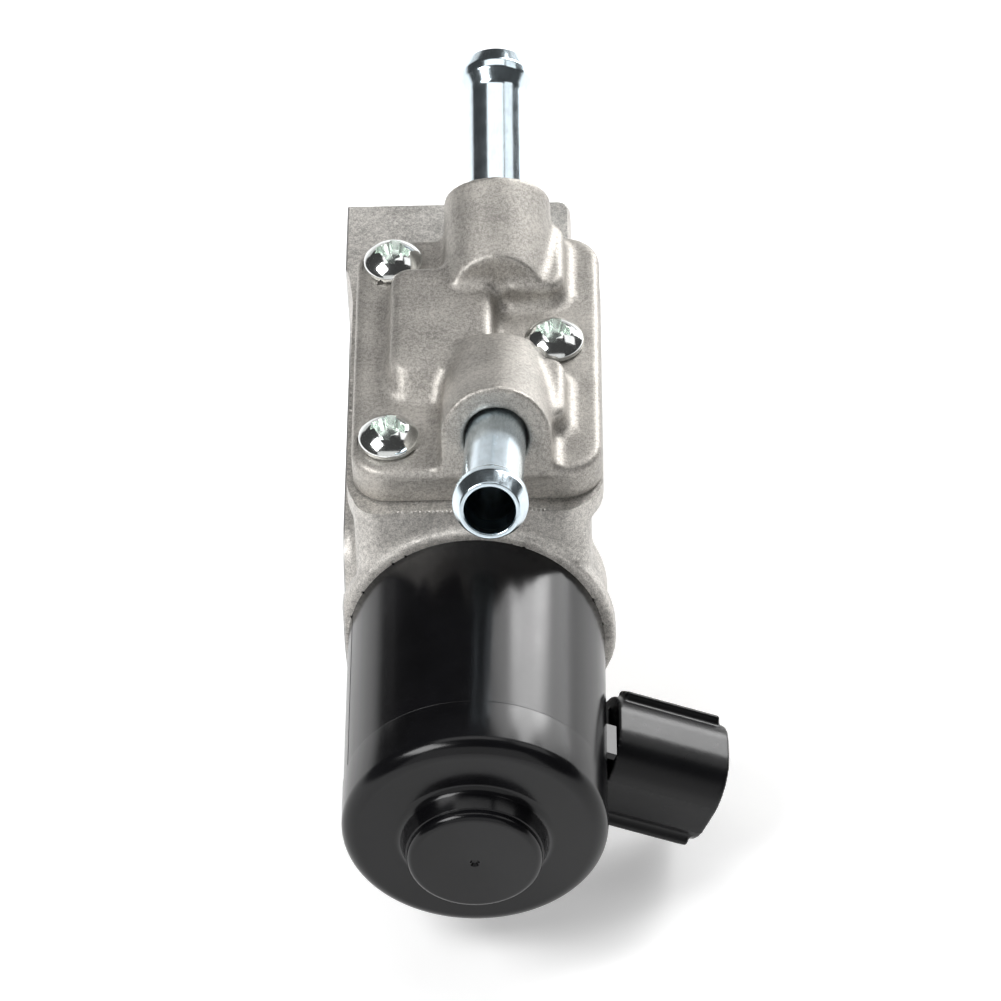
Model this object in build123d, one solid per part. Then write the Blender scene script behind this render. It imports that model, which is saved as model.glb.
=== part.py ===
from build123d import *
import os
from math import cos, radians, sin, tan

# Idle air control valve. Millimetres, +Z up towards the coolant cover.
# The pieces are modelled about the valve axis, which runs along Y with the solenoid at -Y,
# and are then moved so that the origin lies on the mounting face, between the two air ports.

# Driving dimensions: mounting side
FACE_TO_AXIS = 20.4
FLANGE_THICKNESS = 6.0
FLANGE_TOP = 11.0
FLANGE_BOTTOM = 17.0
FLANGE_FRONT = 31.0
FLANGE_REAR = 29.0
FLANGE_CORNER = 7.0
PORT_RADIUS = 6.5
PORT_SPACING = 26.0
PORT_RING_RADIUS = 9.1
PORT_RING_SECTION = 0.9
PORT_RING_SIDE_GAP = 0.2
BOLT_HOLE_RADIUS = 3.3
REAR_BOLT_Y = 30.0
REAR_BOLT_DROP = 7.0
REAR_BLOCK_LENGTH = 36.0
REAR_BLOCK_FRONT = 13.0
REAR_BLOCK_REAR = 37.6
REAR_BLOCK_HEIGHT = 14.0
REAR_BLOCK_ROUND = 4.0
REAR_EAR_RUN = 11.0
FRONT_BOLT_Y = -20.0
FRONT_BOLT_Z = -19.5
FRONT_BOSS_LENGTH = 30.0
BOLT_BOSS_RADIUS = 7.0

# Driving dimensions: casting round the bore
BARREL_RADIUS = 18.1
BARREL_REAR = 31.0
BORE_RADIUS = 13.0
COLLAR_WALL = 0.75
COLLAR_OFFSET = 0.2
COLLAR_RING_LENGTH = 5.4
COLLAR_STEP = 0.45
COLLAR_LENGTH = 12.6
COLLAR_FLARE = 5.5
FRONT_CORNER = 4.0
LIP_WIDTH = 1.5
LIP_RISE = 0.4
FRONT_FACE_Y = -39.3
FRONT_DRAFT = 8.9
SOCKET_STEP_Y = -34.5
SOCKET_FLOOR_Y = -29.0
DECK_HEIGHT = 24.5
DECK_THICKNESS = 4.0
DECK_MARGIN_FRONT = 2.1
DECK_MARGIN_LEFT = 0.95
DECK_MARGIN_RIGHT = 0.1
DECK_MARGIN_REAR = 0.3
CAST_ROUND = 1.6

# Driving dimensions: coolant cover
COVER_WIDTH = 38.3
COVER_LENGTH = 53.4
COVER_CENTRE_X = 1.0
COVER_CENTRE_Y = -6.0
COVER_PLATE = 5.7
COVER_CORNER = 5.8
COVER_EDGE_ROUND = 1.2
GASKET_THICKNESS = 0.4
GASKET_INSET = 0.3
CHAMBER_WIDTH = 25.0
CHAMBER_LENGTH = 40.0
CHAMBER_CORNER = 4.0
CHAMBER_DEPTH = 8.1
CHAMBER_IN_COVER = 3.0
SCREW_LAND_RADIUS = 5.4
PLATEAU_LEFT = 13.5
PLATEAU_RIGHT = 2.6
PLATEAU_FRONT = 11.2
PLATEAU_FRONT_TOP = 7.2
PLATEAU_REAR = 16.2
PLATEAU_RISE = 3.8
PLATEAU_CORNER = 3.0
PLATEAU_ROUND = 1.5
PLATEAU_ROOF = 2.6

# Driving dimensions: cover screws
SCREW_RADIUS = 2.5
SCREW_HOLE_RADIUS = 2.75
SCREW_GRIP = 10.0
SCREW_HEAD_RADIUS = 4.65
SCREW_HEAD_HEIGHT = 3.1
SCREW_CROWN = 1.3
SCREW_HEAD_CLEARANCE = 0.4
SCREW_INSET_SIDE = 5.8
SCREW_INSET_FRONT = 7.4
SCREW_INSET_REAR = 6.1
SCREW_INSET_RIGHT = 7.2
RIGHT_SCREW_Y = -4.4
RECESS_SPAN = 4.9
RECESS_WIDTH = 1.15
RECESS_DEPTH = 1.9
RECESS_TURN = -10.0

# Driving dimensions: pipes and their bosses
PIPE_RADIUS = 4.6
PIPE_WALL = 0.75
PIPE_REACH = 25.5
PIPE_INSERT = 10.0
PIPE_TILT = 19.5
FRONT_PIPE_YAW = 1.2
PIPE_X = 4.2
PIPE_RISE = 5.3
FRONT_PIPE_Y = -30.9
REAR_PIPE_Y = 23.1
BEAD_RADIUS = 5.65
BEAD_LENGTH = 6.4
BEAD_CREST = 1.5
BEAD_NOSE = 2.3
BOSS_RADIUS = 8.4
BOSS_LENGTH = 27.0
FRONT_BOSS_FOOT_Y = -6.4
REAR_BOSS_FOOT_Y = 4.2
BOSS_END_DRAFT = 16.0
BOSS_UNDERCUT = 1.0
BOSS_ROUND = 1.2
PIPE_COUNTERBORE = 0.35
PIPE_COUNTERBORE_DEPTH = 1.6
PASSAGE_RADIUS = 3.6
PASSAGE_LENGTH = 8.0
LOBE_REACH = 2.1
LOBE_RISE = 4.2
LOBE_CORNER = 3.0
FRONT_LOBE_SETBACK = 5.8
FRONT_LOBE_LENGTH = 13.6
REAR_LOBE_SETBACK = 3.6
REAR_LOBE_LENGTH = 15.3

# Driving dimensions: solenoid
CASE_RADIUS = 19.9
CASE_WALL = 1.5
CASE_VISIBLE = 30.7
SEAM_ANGLE = 162.0
SEAM_WIDTH = 0.25
SEAM_DEPTH = 0.3
CASE_SEAL_THICKNESS = 1.0
LUG_LENGTH = 6.0
LUG_SHIFT = -4.3
LUG_THICKNESS = 1.2
LUG_HEIGHT = 7.3
CAP_STEP = 0.1
CAP_DEPTH = 9.4
CAP_EDGE_ROUND = 2.5
CAP_WALL = 1.7
BUTTON_RADIUS = 10.1
BUTTON_RISE = 5.0
BUTTON_EDGE_ROUND = 1.1
BUTTON_FLARE = 1.8
DIMPLE_RADIUS = 0.8
DIMPLE_DEPTH = 0.5
CORE_FLANGE = 3.0
CORE_RADIUS = 6.8
CORE_LENGTH = 16.6
BOBBIN_BORE = 7.1
BOBBIN_WALL = 1.1
BOBBIN_FLANGE = 1.8
BOBBIN_SEAL_GAP = 0.2
WINDING_MARGIN = 1.9
YOKE_THICKNESS = 6.0
HOLDER_FLANGE = 3.0
HOLDER_SPIGOT = 5.0
HOLDER_HUB_RADIUS = 6.0
HOLDER_HUB = 10.0
HOLDER_RECESS = 2.0
CAP_SEAL_WIDTH = 0.7
CAP_SEAL_LENGTH = 1.4
SHAFT_SEAL_RADIUS = 4.5
SHAFT_SEAL_THICKNESS = 1.8

# Driving dimensions: moving set, its bearings and its seat
TRAVEL = 4.0
STROKE_GAP = 0.5
RUNNING_GAP = 0.05
SEATED_GAP = 0.05
SHAFT_RADIUS = 2.0
BUSH_RADIUS = 3.5
FRONT_BUSH_LENGTH = 11.0
MIDDLE_BUSH_LENGTH = 8.0
REAR_BUSH_LENGTH = 9.0
PLUNGER_RADIUS = 6.6
PLUNGER_LENGTH = 19.4
SHAFT_FRONT_OVERHANG = 18.5
POPPET_RADIUS = 9.2
POPPET_THICKNESS = 3.2
POPPET_HUB_RADIUS = 4.2
POPPET_HUB = 6.5
CLIP_RADIUS = 3.6
CLIP_THICKNESS = 0.7
SEAT_BORE = 7.0
SEAT_THICKNESS = 5.0
PLUG_THICKNESS = 4.0
PLUG_SETBACK = 1.6
PLUG_HUB_RADIUS = 5.5
SHAFT_END_GAP = 1.0
SPRING_RADIUS = 4.3
SPRING_WIRE = 0.35
SPRING_TURNS = 5
SPRING_POCKET = 6.0
SPRING_POCKET_RADIUS = 5.2

# Driving dimensions: connector
CONNECTOR_ANGLE = 23.6
CONNECTOR_Y_FROM_SEAM = 14.7
CONNECTOR_WIDTH = 16.6
CONNECTOR_HEIGHT = 16.8
CONNECTOR_CORNER = 6.6
CONNECTOR_END = 38.6
CONNECTOR_GAP = 0.3
CONNECTOR_WALL = 1.6
CONNECTOR_DEPTH = 13.5
NECK_WIDTH = 10.0
NECK_HEIGHT = 9.0
NECK_INSERT = 2.2
NECK_GAP = 0.3
RIB_WIDTH = 4.4
RIB_RISE = 1.9
RIB_END_GAP = 1.4
RIB_TURN = 47.0
TERMINAL_WIDTH = 2.3
TERMINAL_THICKNESS = 0.8
TERMINAL_SPACING = 5.6
TERMINAL_END_GAP = 4.6

# Levels and places worked out from the driving dimensions
COVER_BOTTOM = DECK_HEIGHT + GASKET_THICKNESS
COVER_TOP = COVER_BOTTOM + COVER_PLATE
COVER_LEFT = COVER_CENTRE_X - COVER_WIDTH / 2
COVER_RIGHT = COVER_CENTRE_X + COVER_WIDTH / 2
COVER_FRONT = COVER_CENTRE_Y - COVER_LENGTH / 2
COVER_REAR = COVER_CENTRE_Y + COVER_LENGTH / 2
SCREW_PLACES = [
    (COVER_LEFT + SCREW_INSET_SIDE, COVER_FRONT + SCREW_INSET_FRONT),
    (COVER_LEFT + SCREW_INSET_SIDE, COVER_REAR - SCREW_INSET_REAR),
    (COVER_RIGHT - SCREW_INSET_RIGHT, RIGHT_SCREW_Y),
]
REAR_BLOCK_RIGHT = REAR_BLOCK_LENGTH - FACE_TO_AXIS
REAR_BOLT_Z = DECK_HEIGHT - REAR_BOLT_DROP
PIPE_HEIGHT = COVER_TOP + PIPE_RISE
CHAMBER_FLOOR = DECK_HEIGHT - CHAMBER_DEPTH
COLLAR_RADIUS = CASE_RADIUS + COLLAR_WALL
CAP_RADIUS = CASE_RADIUS + CAP_STEP
CASE_REAR = SOCKET_STEP_Y - CASE_SEAL_THICKNESS
SEAM_Y = FRONT_FACE_Y - CASE_VISIBLE
CAP_FACE_Y = SEAM_Y - CAP_DEPTH
BUTTON_FACE_Y = CAP_FACE_Y - BUTTON_RISE
CORE_FRONT = CAP_FACE_Y + CAP_WALL
BOBBIN_FRONT = CORE_FRONT + CORE_FLANGE
CORE_END = BOBBIN_FRONT + CORE_LENGTH
HOLDER_FRONT = SOCKET_FLOOR_Y - HOLDER_FLANGE
YOKE_FRONT = HOLDER_FRONT - YOKE_THICKNESS
CASE_BORE = CASE_RADIUS - CASE_WALL
BOBBIN_FLANGE_RADIUS = CASE_BORE - CAP_SEAL_WIDTH - BOBBIN_SEAL_GAP
WINDING_RADIUS = BOBBIN_FLANGE_RADIUS - WINDING_MARGIN
PLUNGER_FRONT = CORE_END + TRAVEL + STROKE_GAP
PLUNGER_END = PLUNGER_FRONT + PLUNGER_LENGTH
SEAT_FRONT = -SEAT_THICKNESS / 2
POPPET_FACE = SEAT_FRONT - SEATED_GAP
PLUG_REAR = BARREL_REAR - PLUG_SETBACK
PLUG_FRONT = PLUG_REAR - PLUG_THICKNESS
SHAFT_REAR = PLUG_FRONT - SHAFT_END_GAP
SHAFT_FRONT = PLUNGER_FRONT - SHAFT_FRONT_OVERHANG
FRONT_BUSH_FRONT = CORE_FRONT
HUB_REAR = SOCKET_FLOOR_Y + HOLDER_HUB
MIDDLE_BUSH_REAR = HUB_REAR - SHAFT_SEAL_THICKNESS
CONNECTOR_Y = SEAM_Y + CONNECTOR_Y_FROM_SEAM
CONNECTOR_START = CASE_RADIUS + CONNECTOR_GAP
NECK_START = CASE_BORE - NECK_INSERT
BIG = 200.0


def turned(points):
    """Solid of revolution about the valve axis from (radius, y) corners."""
    outline = make_face(Polyline(*points, close=True))
    return revolve(outline, Axis.Y)


def ring_y(outer, inner, y_front, y_rear):
    """Plain ring about the valve axis."""
    return turned([(inner, y_front), (outer, y_front), (outer, y_rear), (inner, y_rear)])


def disc_y(radius, y_front, y_rear):
    """Plain cylinder about the valve axis."""
    return Pos(0, (y_front + y_rear) / 2, 0) * Rot(90, 0, 0) * Cylinder(radius, y_rear - y_front)


def along_y(outline, y_front, y_rear):
    """Extrude an outline drawn in X and Z between two Y levels."""
    return extrude(Plane.XZ.offset(-y_rear) * outline, amount=y_rear - y_front)


def along_x(outline, x_left, x_right):
    """Extrude an outline drawn in Y and Z between two X levels."""
    return extrude(Plane.YZ.offset(x_left) * outline, amount=x_right - x_left)


def along_z(outline, z_low, z_high):
    """Extrude an outline drawn in X and Y between two heights."""
    return extrude(Plane.XY.offset(z_low) * outline, amount=z_high - z_low)


def cover_outline(inset):
    """Outline of the cover plate, shrunk by inset."""
    return Pos(COVER_CENTRE_X, COVER_CENTRE_Y) * RectangleRounded(
        COVER_WIDTH - 2 * inset, COVER_LENGTH - 2 * inset, COVER_CORNER - inset
    )


def screw_circles(radius):
    """One circle at each cover screw."""
    return Sketch() + [Pos(x, y) * Circle(radius) for x, y in SCREW_PLACES]


def chamber_outline():
    """Outline of the water chamber, which goes round the screw lands."""
    chamber = Pos(COVER_CENTRE_X, COVER_CENTRE_Y) * RectangleRounded(
        CHAMBER_WIDTH, CHAMBER_LENGTH, CHAMBER_CORNER
    )
    return chamber - screw_circles(SCREW_LAND_RADIUS)


def front_half_space(setback):
    """Everything behind the drafted front face of the casting."""
    lean = BIG * tan(radians(FRONT_DRAFT))
    y = FRONT_FACE_Y + setback
    side = Polyline((y, 0), (y + lean, BIG), (BIG, BIG), (BIG, -BIG), (y + lean, -BIG), close=True)
    return along_x(make_face(side), -BIG, BIG)


def mounting_flange():
    """Plate behind the mounting face, with an ear at each bolt."""
    middle = Pos((FLANGE_REAR - FLANGE_FRONT) / 2, (FLANGE_TOP - FLANGE_BOTTOM) / 2) * RectangleRounded(
        FLANGE_REAR + FLANGE_FRONT, FLANGE_TOP + FLANGE_BOTTOM, FLANGE_CORNER
    )
    ear = Pos(FRONT_BOLT_Y, FRONT_BOLT_Z) * Circle(BOLT_BOSS_RADIUS)
    return along_x(middle + ear, -FACE_TO_AXIS, FLANGE_THICKNESS - FACE_TO_AXIS)


def rear_bolt_block():
    """Long block that carries the rear mounting bolt from side to side, flared towards the face."""
    ear_left = COVER_LEFT - DECK_MARGIN_LEFT
    plan = Polyline(
        (ear_left, REAR_BLOCK_FRONT),
        (-FACE_TO_AXIS, REAR_BLOCK_FRONT + REAR_EAR_RUN),
        (-FACE_TO_AXIS, REAR_BLOCK_REAR),
        (REAR_BLOCK_RIGHT, REAR_BLOCK_REAR),
        (REAR_BLOCK_RIGHT, REAR_BLOCK_FRONT),
        close=True,
    )
    block = along_z(make_face(plan), DECK_HEIGHT - REAR_BLOCK_HEIGHT, DECK_HEIGHT)
    block = fillet(block.edges().filter_by(Axis.X).group_by(Axis.Y)[-1], REAR_BLOCK_ROUND)
    return fillet(block.faces().sort_by(Axis.X)[-1].edges(), CAST_ROUND)


def barrel_and_deck():
    """Round barrel with its flat-topped front, and the deck plate that carries the cover."""
    deck_left = COVER_LEFT - DECK_MARGIN_LEFT
    deck_right = COVER_RIGHT + DECK_MARGIN_RIGHT
    deck_front = COVER_FRONT - DECK_MARGIN_FRONT
    deck_rear = COVER_REAR + DECK_MARGIN_REAR
    u_section = Circle(BARREL_RADIUS) + Pos(0, DECK_HEIGHT / 2) * Rectangle(2 * BARREL_RADIUS, DECK_HEIGHT)
    trough = along_y(u_section, FRONT_FACE_Y, deck_rear) & front_half_space(LIP_RISE)
    corners = trough.edges().filter_by(GeomType.LINE).filter_by(
        lambda e: e.center().Y < SOCKET_STEP_Y and abs(e.center().X) > BARREL_RADIUS / 2
    )
    trough = fillet(corners, FRONT_CORNER)
    barrel = disc_y(BARREL_RADIUS, SOCKET_FLOOR_Y, BARREL_REAR)
    deck_plan = Pos((deck_left + deck_right) / 2, (deck_front + deck_rear) / 2) * RectangleRounded(
        deck_right - deck_left, deck_rear - deck_front, COVER_CORNER + DECK_MARGIN_LEFT
    )
    deck = along_z(deck_plan, DECK_HEIGHT - DECK_THICKNESS, DECK_HEIGHT)
    deck = fillet(deck.edges().group_by(Axis.Z)[-1], COVER_EDGE_ROUND / 2)
    return trough + barrel + deck


def solenoid_collar():
    """Round collar of the socket, a little off centre, and the flat lip round its mouth."""
    ring_end = FRONT_FACE_Y + COLLAR_RING_LENGTH
    flare_start = FRONT_FACE_Y + COLLAR_LENGTH
    collar = Pos(COLLAR_OFFSET, 0, 0) * turned([
        (0, FRONT_FACE_Y),
        (COLLAR_RADIUS, FRONT_FACE_Y),
        (COLLAR_RADIUS, ring_end),
        (COLLAR_RADIUS - COLLAR_STEP, ring_end + COLLAR_STEP),
        (COLLAR_RADIUS - COLLAR_STEP, flare_start),
        (BARREL_RADIUS, flare_start + COLLAR_FLARE),
        (0, flare_start + COLLAR_FLARE),
    ])
    wall = Pos(0, DECK_HEIGHT / 2) * Rectangle(2 * BARREL_RADIUS, DECK_HEIGHT)
    lip = along_y(wall, FRONT_FACE_Y, SOCKET_FLOOR_Y) & disc_y(
        CASE_RADIUS + LIP_WIDTH, FRONT_FACE_Y, SOCKET_FLOOR_Y
    )
    return (collar + lip) & front_half_space(0)


def valve_body():
    """Cast body: socket and collar, barrel, deck, bolt bosses, flange, bores and ports."""
    body = barrel_and_deck() + solenoid_collar() + mounting_flange() + rear_bolt_block()
    body += along_x(
        Pos(FRONT_BOLT_Y, FRONT_BOLT_Z) * Circle(BOLT_BOSS_RADIUS),
        -FACE_TO_AXIS,
        FRONT_BOSS_LENGTH - FACE_TO_AXIS,
    )
    beyond_face = Pos(-FACE_TO_AXIS - BIG / 2, 0, 0) * Box(BIG, BIG, BIG)
    body -= beyond_face
    body -= disc_y(CASE_RADIUS, FRONT_FACE_Y - BIG / 4, SOCKET_STEP_Y)
    body -= disc_y(CASE_BORE, SOCKET_STEP_Y, SOCKET_FLOOR_Y)
    body -= disc_y(BORE_RADIUS, SOCKET_FLOOR_Y, BARREL_REAR + LIP_RISE)
    for y in (-PORT_SPACING / 2, PORT_SPACING / 2):
        body -= along_x(Pos(y, 0) * Circle(PORT_RADIUS), -FACE_TO_AXIS, 0)
        groove = PORT_RING_SECTION + PORT_RING_SIDE_GAP
        ring = Circle(PORT_RING_RADIUS + groove) - Circle(PORT_RING_RADIUS - groove)
        body -= along_x(Pos(y, 0) * ring, -FACE_TO_AXIS, 2 * PORT_RING_SECTION - FACE_TO_AXIS)
    for y, z in ((REAR_BOLT_Y, REAR_BOLT_Z), (FRONT_BOLT_Y, FRONT_BOLT_Z)):
        body -= along_x(Pos(y, z) * Circle(BOLT_HOLE_RADIUS), -FACE_TO_AXIS, BIG / 4)
    body -= along_z(chamber_outline(), CHAMBER_FLOOR, DECK_HEIGHT)
    body -= along_z(screw_circles(SCREW_RADIUS), DECK_HEIGHT - SCREW_GRIP, DECK_HEIGHT)
    return body


def pipe_plane(face_y, towards):
    """Plane on a boss face, square to its pipe. towards is -1 for the front and 1 for the rear."""
    tilt = radians(PIPE_TILT)
    return Plane(
        origin=(PIPE_X, face_y, PIPE_HEIGHT),
        x_dir=(1, 0, 0),
        z_dir=(0, towards * cos(tilt), sin(tilt)),
    )


def pipe_axis(face_y, towards):
    """The same plane for the pipe itself. The front pipe sits a little askew in its boss."""
    plane = pipe_plane(face_y, towards)
    yaw = FRONT_PIPE_YAW if towards < 0 else 0
    return plane * Rot(0, -yaw, 0)


def boss_outline(towards):
    """Arch with straight legs. In the plane of a boss face local y points down at the rear."""
    leg = 2 * BOSS_RADIUS
    return Circle(BOSS_RADIUS) + Pos(0, towards * leg / 2) * Rectangle(2 * BOSS_RADIUS, leg)


def pipe_boss(face_y, towards, foot_y, lobe_setback, lobe_length):
    """Tilted boss for one pipe with a drafted inner end, and the wider lobe on its right."""
    boss = extrude(pipe_plane(face_y, towards) * boss_outline(towards), amount=-BOSS_LENGTH)
    lean = BIG * tan(radians(BOSS_END_DRAFT))
    end_wall = make_face(Polyline(
        (foot_y - towards * lean, COVER_TOP - BIG),
        (foot_y + towards * lean, COVER_TOP + BIG),
        (foot_y + towards * BIG, COVER_TOP + BIG),
        (foot_y + towards * BIG, COVER_TOP - BIG),
        close=True,
    ))
    boss &= along_x(end_wall, -BIG, BIG)
    boss = fillet(boss.faces().sort_by(Axis.Y)[0 if towards > 0 else -1].edges(), BOSS_ROUND)
    above = Pos(0, 0, COVER_TOP - BOSS_UNDERCUT + BIG / 2) * Box(BIG, BIG, BIG)
    lobe_y = face_y - towards * (lobe_setback + lobe_length / 2)
    lobe_right = PIPE_X + BOSS_RADIUS + LOBE_REACH
    lobe_plan = Pos((PIPE_X + lobe_right) / 2, lobe_y) * RectangleRounded(
        lobe_right - PIPE_X, lobe_length, LOBE_CORNER
    )
    lobe = along_z(lobe_plan, COVER_TOP - BOSS_UNDERCUT, COVER_TOP + LOBE_RISE)
    lobe = fillet(lobe.edges().group_by(Axis.Z)[-1], BOSS_ROUND)
    return (boss & above) + lobe


def pipe_bore(face_y, towards):
    """Pipe seat, its counterbore and the water passage that runs on behind it."""
    plane = pipe_axis(face_y, towards)
    seat = extrude(plane * Circle(PIPE_RADIUS), amount=-PIPE_INSERT)
    mouth = extrude(plane * Circle(PIPE_RADIUS + PIPE_COUNTERBORE), amount=-PIPE_COUNTERBORE_DEPTH)
    mouth += extrude(plane * Circle(PIPE_RADIUS + PIPE_COUNTERBORE), amount=PIPE_COUNTERBORE)
    passage = extrude(plane * Circle(PASSAGE_RADIUS), amount=-PIPE_INSERT - PASSAGE_LENGTH)
    return seat + mouth + passage


def plateau_outline():
    """Outline of the raised water chamber on the cover."""
    centre_x = COVER_CENTRE_X + (PLATEAU_RIGHT - PLATEAU_LEFT) / 2
    centre_y = COVER_CENTRE_Y + (PLATEAU_REAR - PLATEAU_FRONT) / 2
    return Pos(centre_x, centre_y) * RectangleRounded(
        PLATEAU_LEFT + PLATEAU_RIGHT, PLATEAU_FRONT + PLATEAU_REAR, PLATEAU_CORNER
    )


def raised_chamber():
    """Raised water chamber with its sloping front."""
    top = COVER_TOP + PLATEAU_RISE
    foot = COVER_CENTRE_Y - PLATEAU_FRONT
    edge = COVER_CENTRE_Y - PLATEAU_FRONT_TOP
    rear = COVER_CENTRE_Y + PLATEAU_REAR
    side = Polyline(
        (foot, COVER_BOTTOM), (foot, COVER_TOP), (edge, top), (rear, top), (rear, COVER_BOTTOM), close=True
    )
    block = along_x(make_face(side), COVER_CENTRE_X - PLATEAU_LEFT, COVER_CENTRE_X + PLATEAU_RIGHT)
    corners = block.edges().filter_by(lambda e: abs((e @ 0).Z - (e @ 1).Z) > PLATEAU_ROUND)
    block = fillet(corners, PLATEAU_CORNER)
    return fillet(block.edges().group_by(Axis.Z)[-1], PLATEAU_ROUND)


def coolant_cover():
    """Cast cover: plate, raised chamber, two tilted bosses, hollow underside and screw holes."""
    plate = along_z(cover_outline(0), COVER_BOTTOM, COVER_TOP)
    plate = fillet(plate.edges().group_by(Axis.Z)[-1], COVER_EDGE_ROUND)
    raised = raised_chamber()
    raised += pipe_boss(FRONT_PIPE_Y, -1, FRONT_BOSS_FOOT_Y, FRONT_LOBE_SETBACK, FRONT_LOBE_LENGTH)
    raised += pipe_boss(REAR_PIPE_Y, 1, REAR_BOSS_FOOT_Y, REAR_LOBE_SETBACK, REAR_LOBE_LENGTH)
    head_room = screw_circles(SCREW_HEAD_RADIUS + SCREW_HEAD_CLEARANCE)
    cover = plate + (raised - along_z(head_room, COVER_TOP, COVER_TOP + BIG))
    cover -= along_z(chamber_outline(), COVER_BOTTOM, COVER_BOTTOM + CHAMBER_IN_COVER)
    dome_plan = offset(plateau_outline(), -PLATEAU_ROOF) & chamber_outline()
    dome = along_z(dome_plan, COVER_BOTTOM, COVER_TOP + PLATEAU_RISE - PLATEAU_ROOF)
    cover -= dome
    cover -= pipe_bore(FRONT_PIPE_Y, -1) + pipe_bore(REAR_PIPE_Y, 1)
    cover -= along_z(screw_circles(SCREW_HOLE_RADIUS), COVER_BOTTOM, COVER_TOP)
    return cover


def cover_gasket():
    """Thin sheet between the castings."""
    sheet = cover_outline(GASKET_INSET) - chamber_outline() - screw_circles(SCREW_HOLE_RADIUS)
    return along_z(sheet, DECK_HEIGHT, COVER_BOTTOM)


def cover_screw():
    """One pan-head screw with a cross recess, head seat at the origin."""
    outline = make_face(
        Line((0, 0), (SCREW_HEAD_RADIUS, 0))
        + Line((SCREW_HEAD_RADIUS, 0), (SCREW_HEAD_RADIUS, SCREW_HEAD_HEIGHT - SCREW_CROWN))
        + ThreePointArc(
            (SCREW_HEAD_RADIUS, SCREW_HEAD_HEIGHT - SCREW_CROWN),
            (0.8 * SCREW_HEAD_RADIUS, SCREW_HEAD_HEIGHT - 0.3 * SCREW_CROWN),
            (0, SCREW_HEAD_HEIGHT),
        )
        + Line((0, SCREW_HEAD_HEIGHT), (0, 0))
    )
    head = revolve(Plane.XZ * outline, Axis.Z)
    tip = DECK_HEIGHT - SCREW_GRIP - COVER_TOP
    shank = along_z(Circle(SCREW_RADIUS), tip, 0)
    wing = Rectangle(RECESS_SPAN, RECESS_WIDTH) + Rectangle(RECESS_WIDTH, RECESS_SPAN)
    recess = extrude(
        Plane.XY.offset(SCREW_HEAD_HEIGHT + LIP_RISE) * Rot(0, 0, RECESS_TURN) * wing,
        amount=-RECESS_DEPTH - LIP_RISE,
    )
    return head + shank - recess


def cover_screws():
    """Three identical screws."""
    return [Pos(x, y, COVER_TOP) * cover_screw() for x, y in SCREW_PLACES]


def coolant_pipe(face_y, towards):
    """Steel hose pipe with a rolled bead near its mouth."""
    bore = PIPE_RADIUS - PIPE_WALL
    bead_start = PIPE_REACH - BEAD_LENGTH
    crest_end = PIPE_REACH - BEAD_NOSE
    crest_start = crest_end - BEAD_CREST
    inner_bead = bore + (BEAD_RADIUS - PIPE_RADIUS) / 2
    outline = make_face(Polyline(
        (bore, -PIPE_INSERT),
        (PIPE_RADIUS, -PIPE_INSERT),
        (PIPE_RADIUS, bead_start),
        (BEAD_RADIUS, crest_start),
        (BEAD_RADIUS, crest_end),
        (PIPE_RADIUS, PIPE_REACH),
        (bore, PIPE_REACH),
        (bore, crest_end + BEAD_CREST / 2),
        (inner_bead, crest_end - BEAD_CREST / 2),
        (bore, crest_start - BEAD_CREST / 2),
        close=True,
    ))
    pipe = revolve(Plane.XZ * outline, Axis.Z)
    middle = (PIPE_RADIUS + BEAD_RADIUS) / 2
    crest = pipe.edges().filter_by(GeomType.CIRCLE).filter_by(lambda e: e.radius > middle)
    pipe = fillet(crest, BEAD_CREST / 3)
    return pipe_axis(face_y, towards) * pipe


def connector_plane(reach):
    """Plane square to the connector's axis. Local x runs along the valve, local y upwards."""
    lean = radians(CONNECTOR_ANGLE)
    return Plane(
        origin=(reach * cos(lean), CONNECTOR_Y, -reach * sin(lean)),
        x_dir=(0, 1, 0),
        z_dir=(cos(lean), 0, -sin(lean)),
    )


def solenoid_case():
    """Rolled steel tube with its butt seam, the connector's window and the lug above it."""
    case = ring_y(CASE_RADIUS, CASE_BORE, SEAM_Y, CASE_REAR)
    seam = Pos(CASE_RADIUS, 0, 0) * Box(2 * SEAM_DEPTH, BIG, SEAM_WIDTH)
    case -= Rot(0, -SEAM_ANGLE, 0) * seam
    window = Rectangle(NECK_WIDTH + 2 * NECK_GAP, NECK_HEIGHT + 2 * NECK_GAP)
    case -= extrude(connector_plane(CASE_BORE - 2 * CASE_WALL) * window, amount=4 * CASE_WALL)
    lug = Pos(LUG_SHIFT, LUG_HEIGHT) * Rectangle(LUG_LENGTH, LUG_THICKNESS)
    case += extrude(connector_plane(CASE_RADIUS) * lug, amount=-2 * CASE_WALL) - disc_y(
        CASE_RADIUS - CASE_WALL / 2, SEAM_Y, CASE_REAR
    )
    return case


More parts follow.
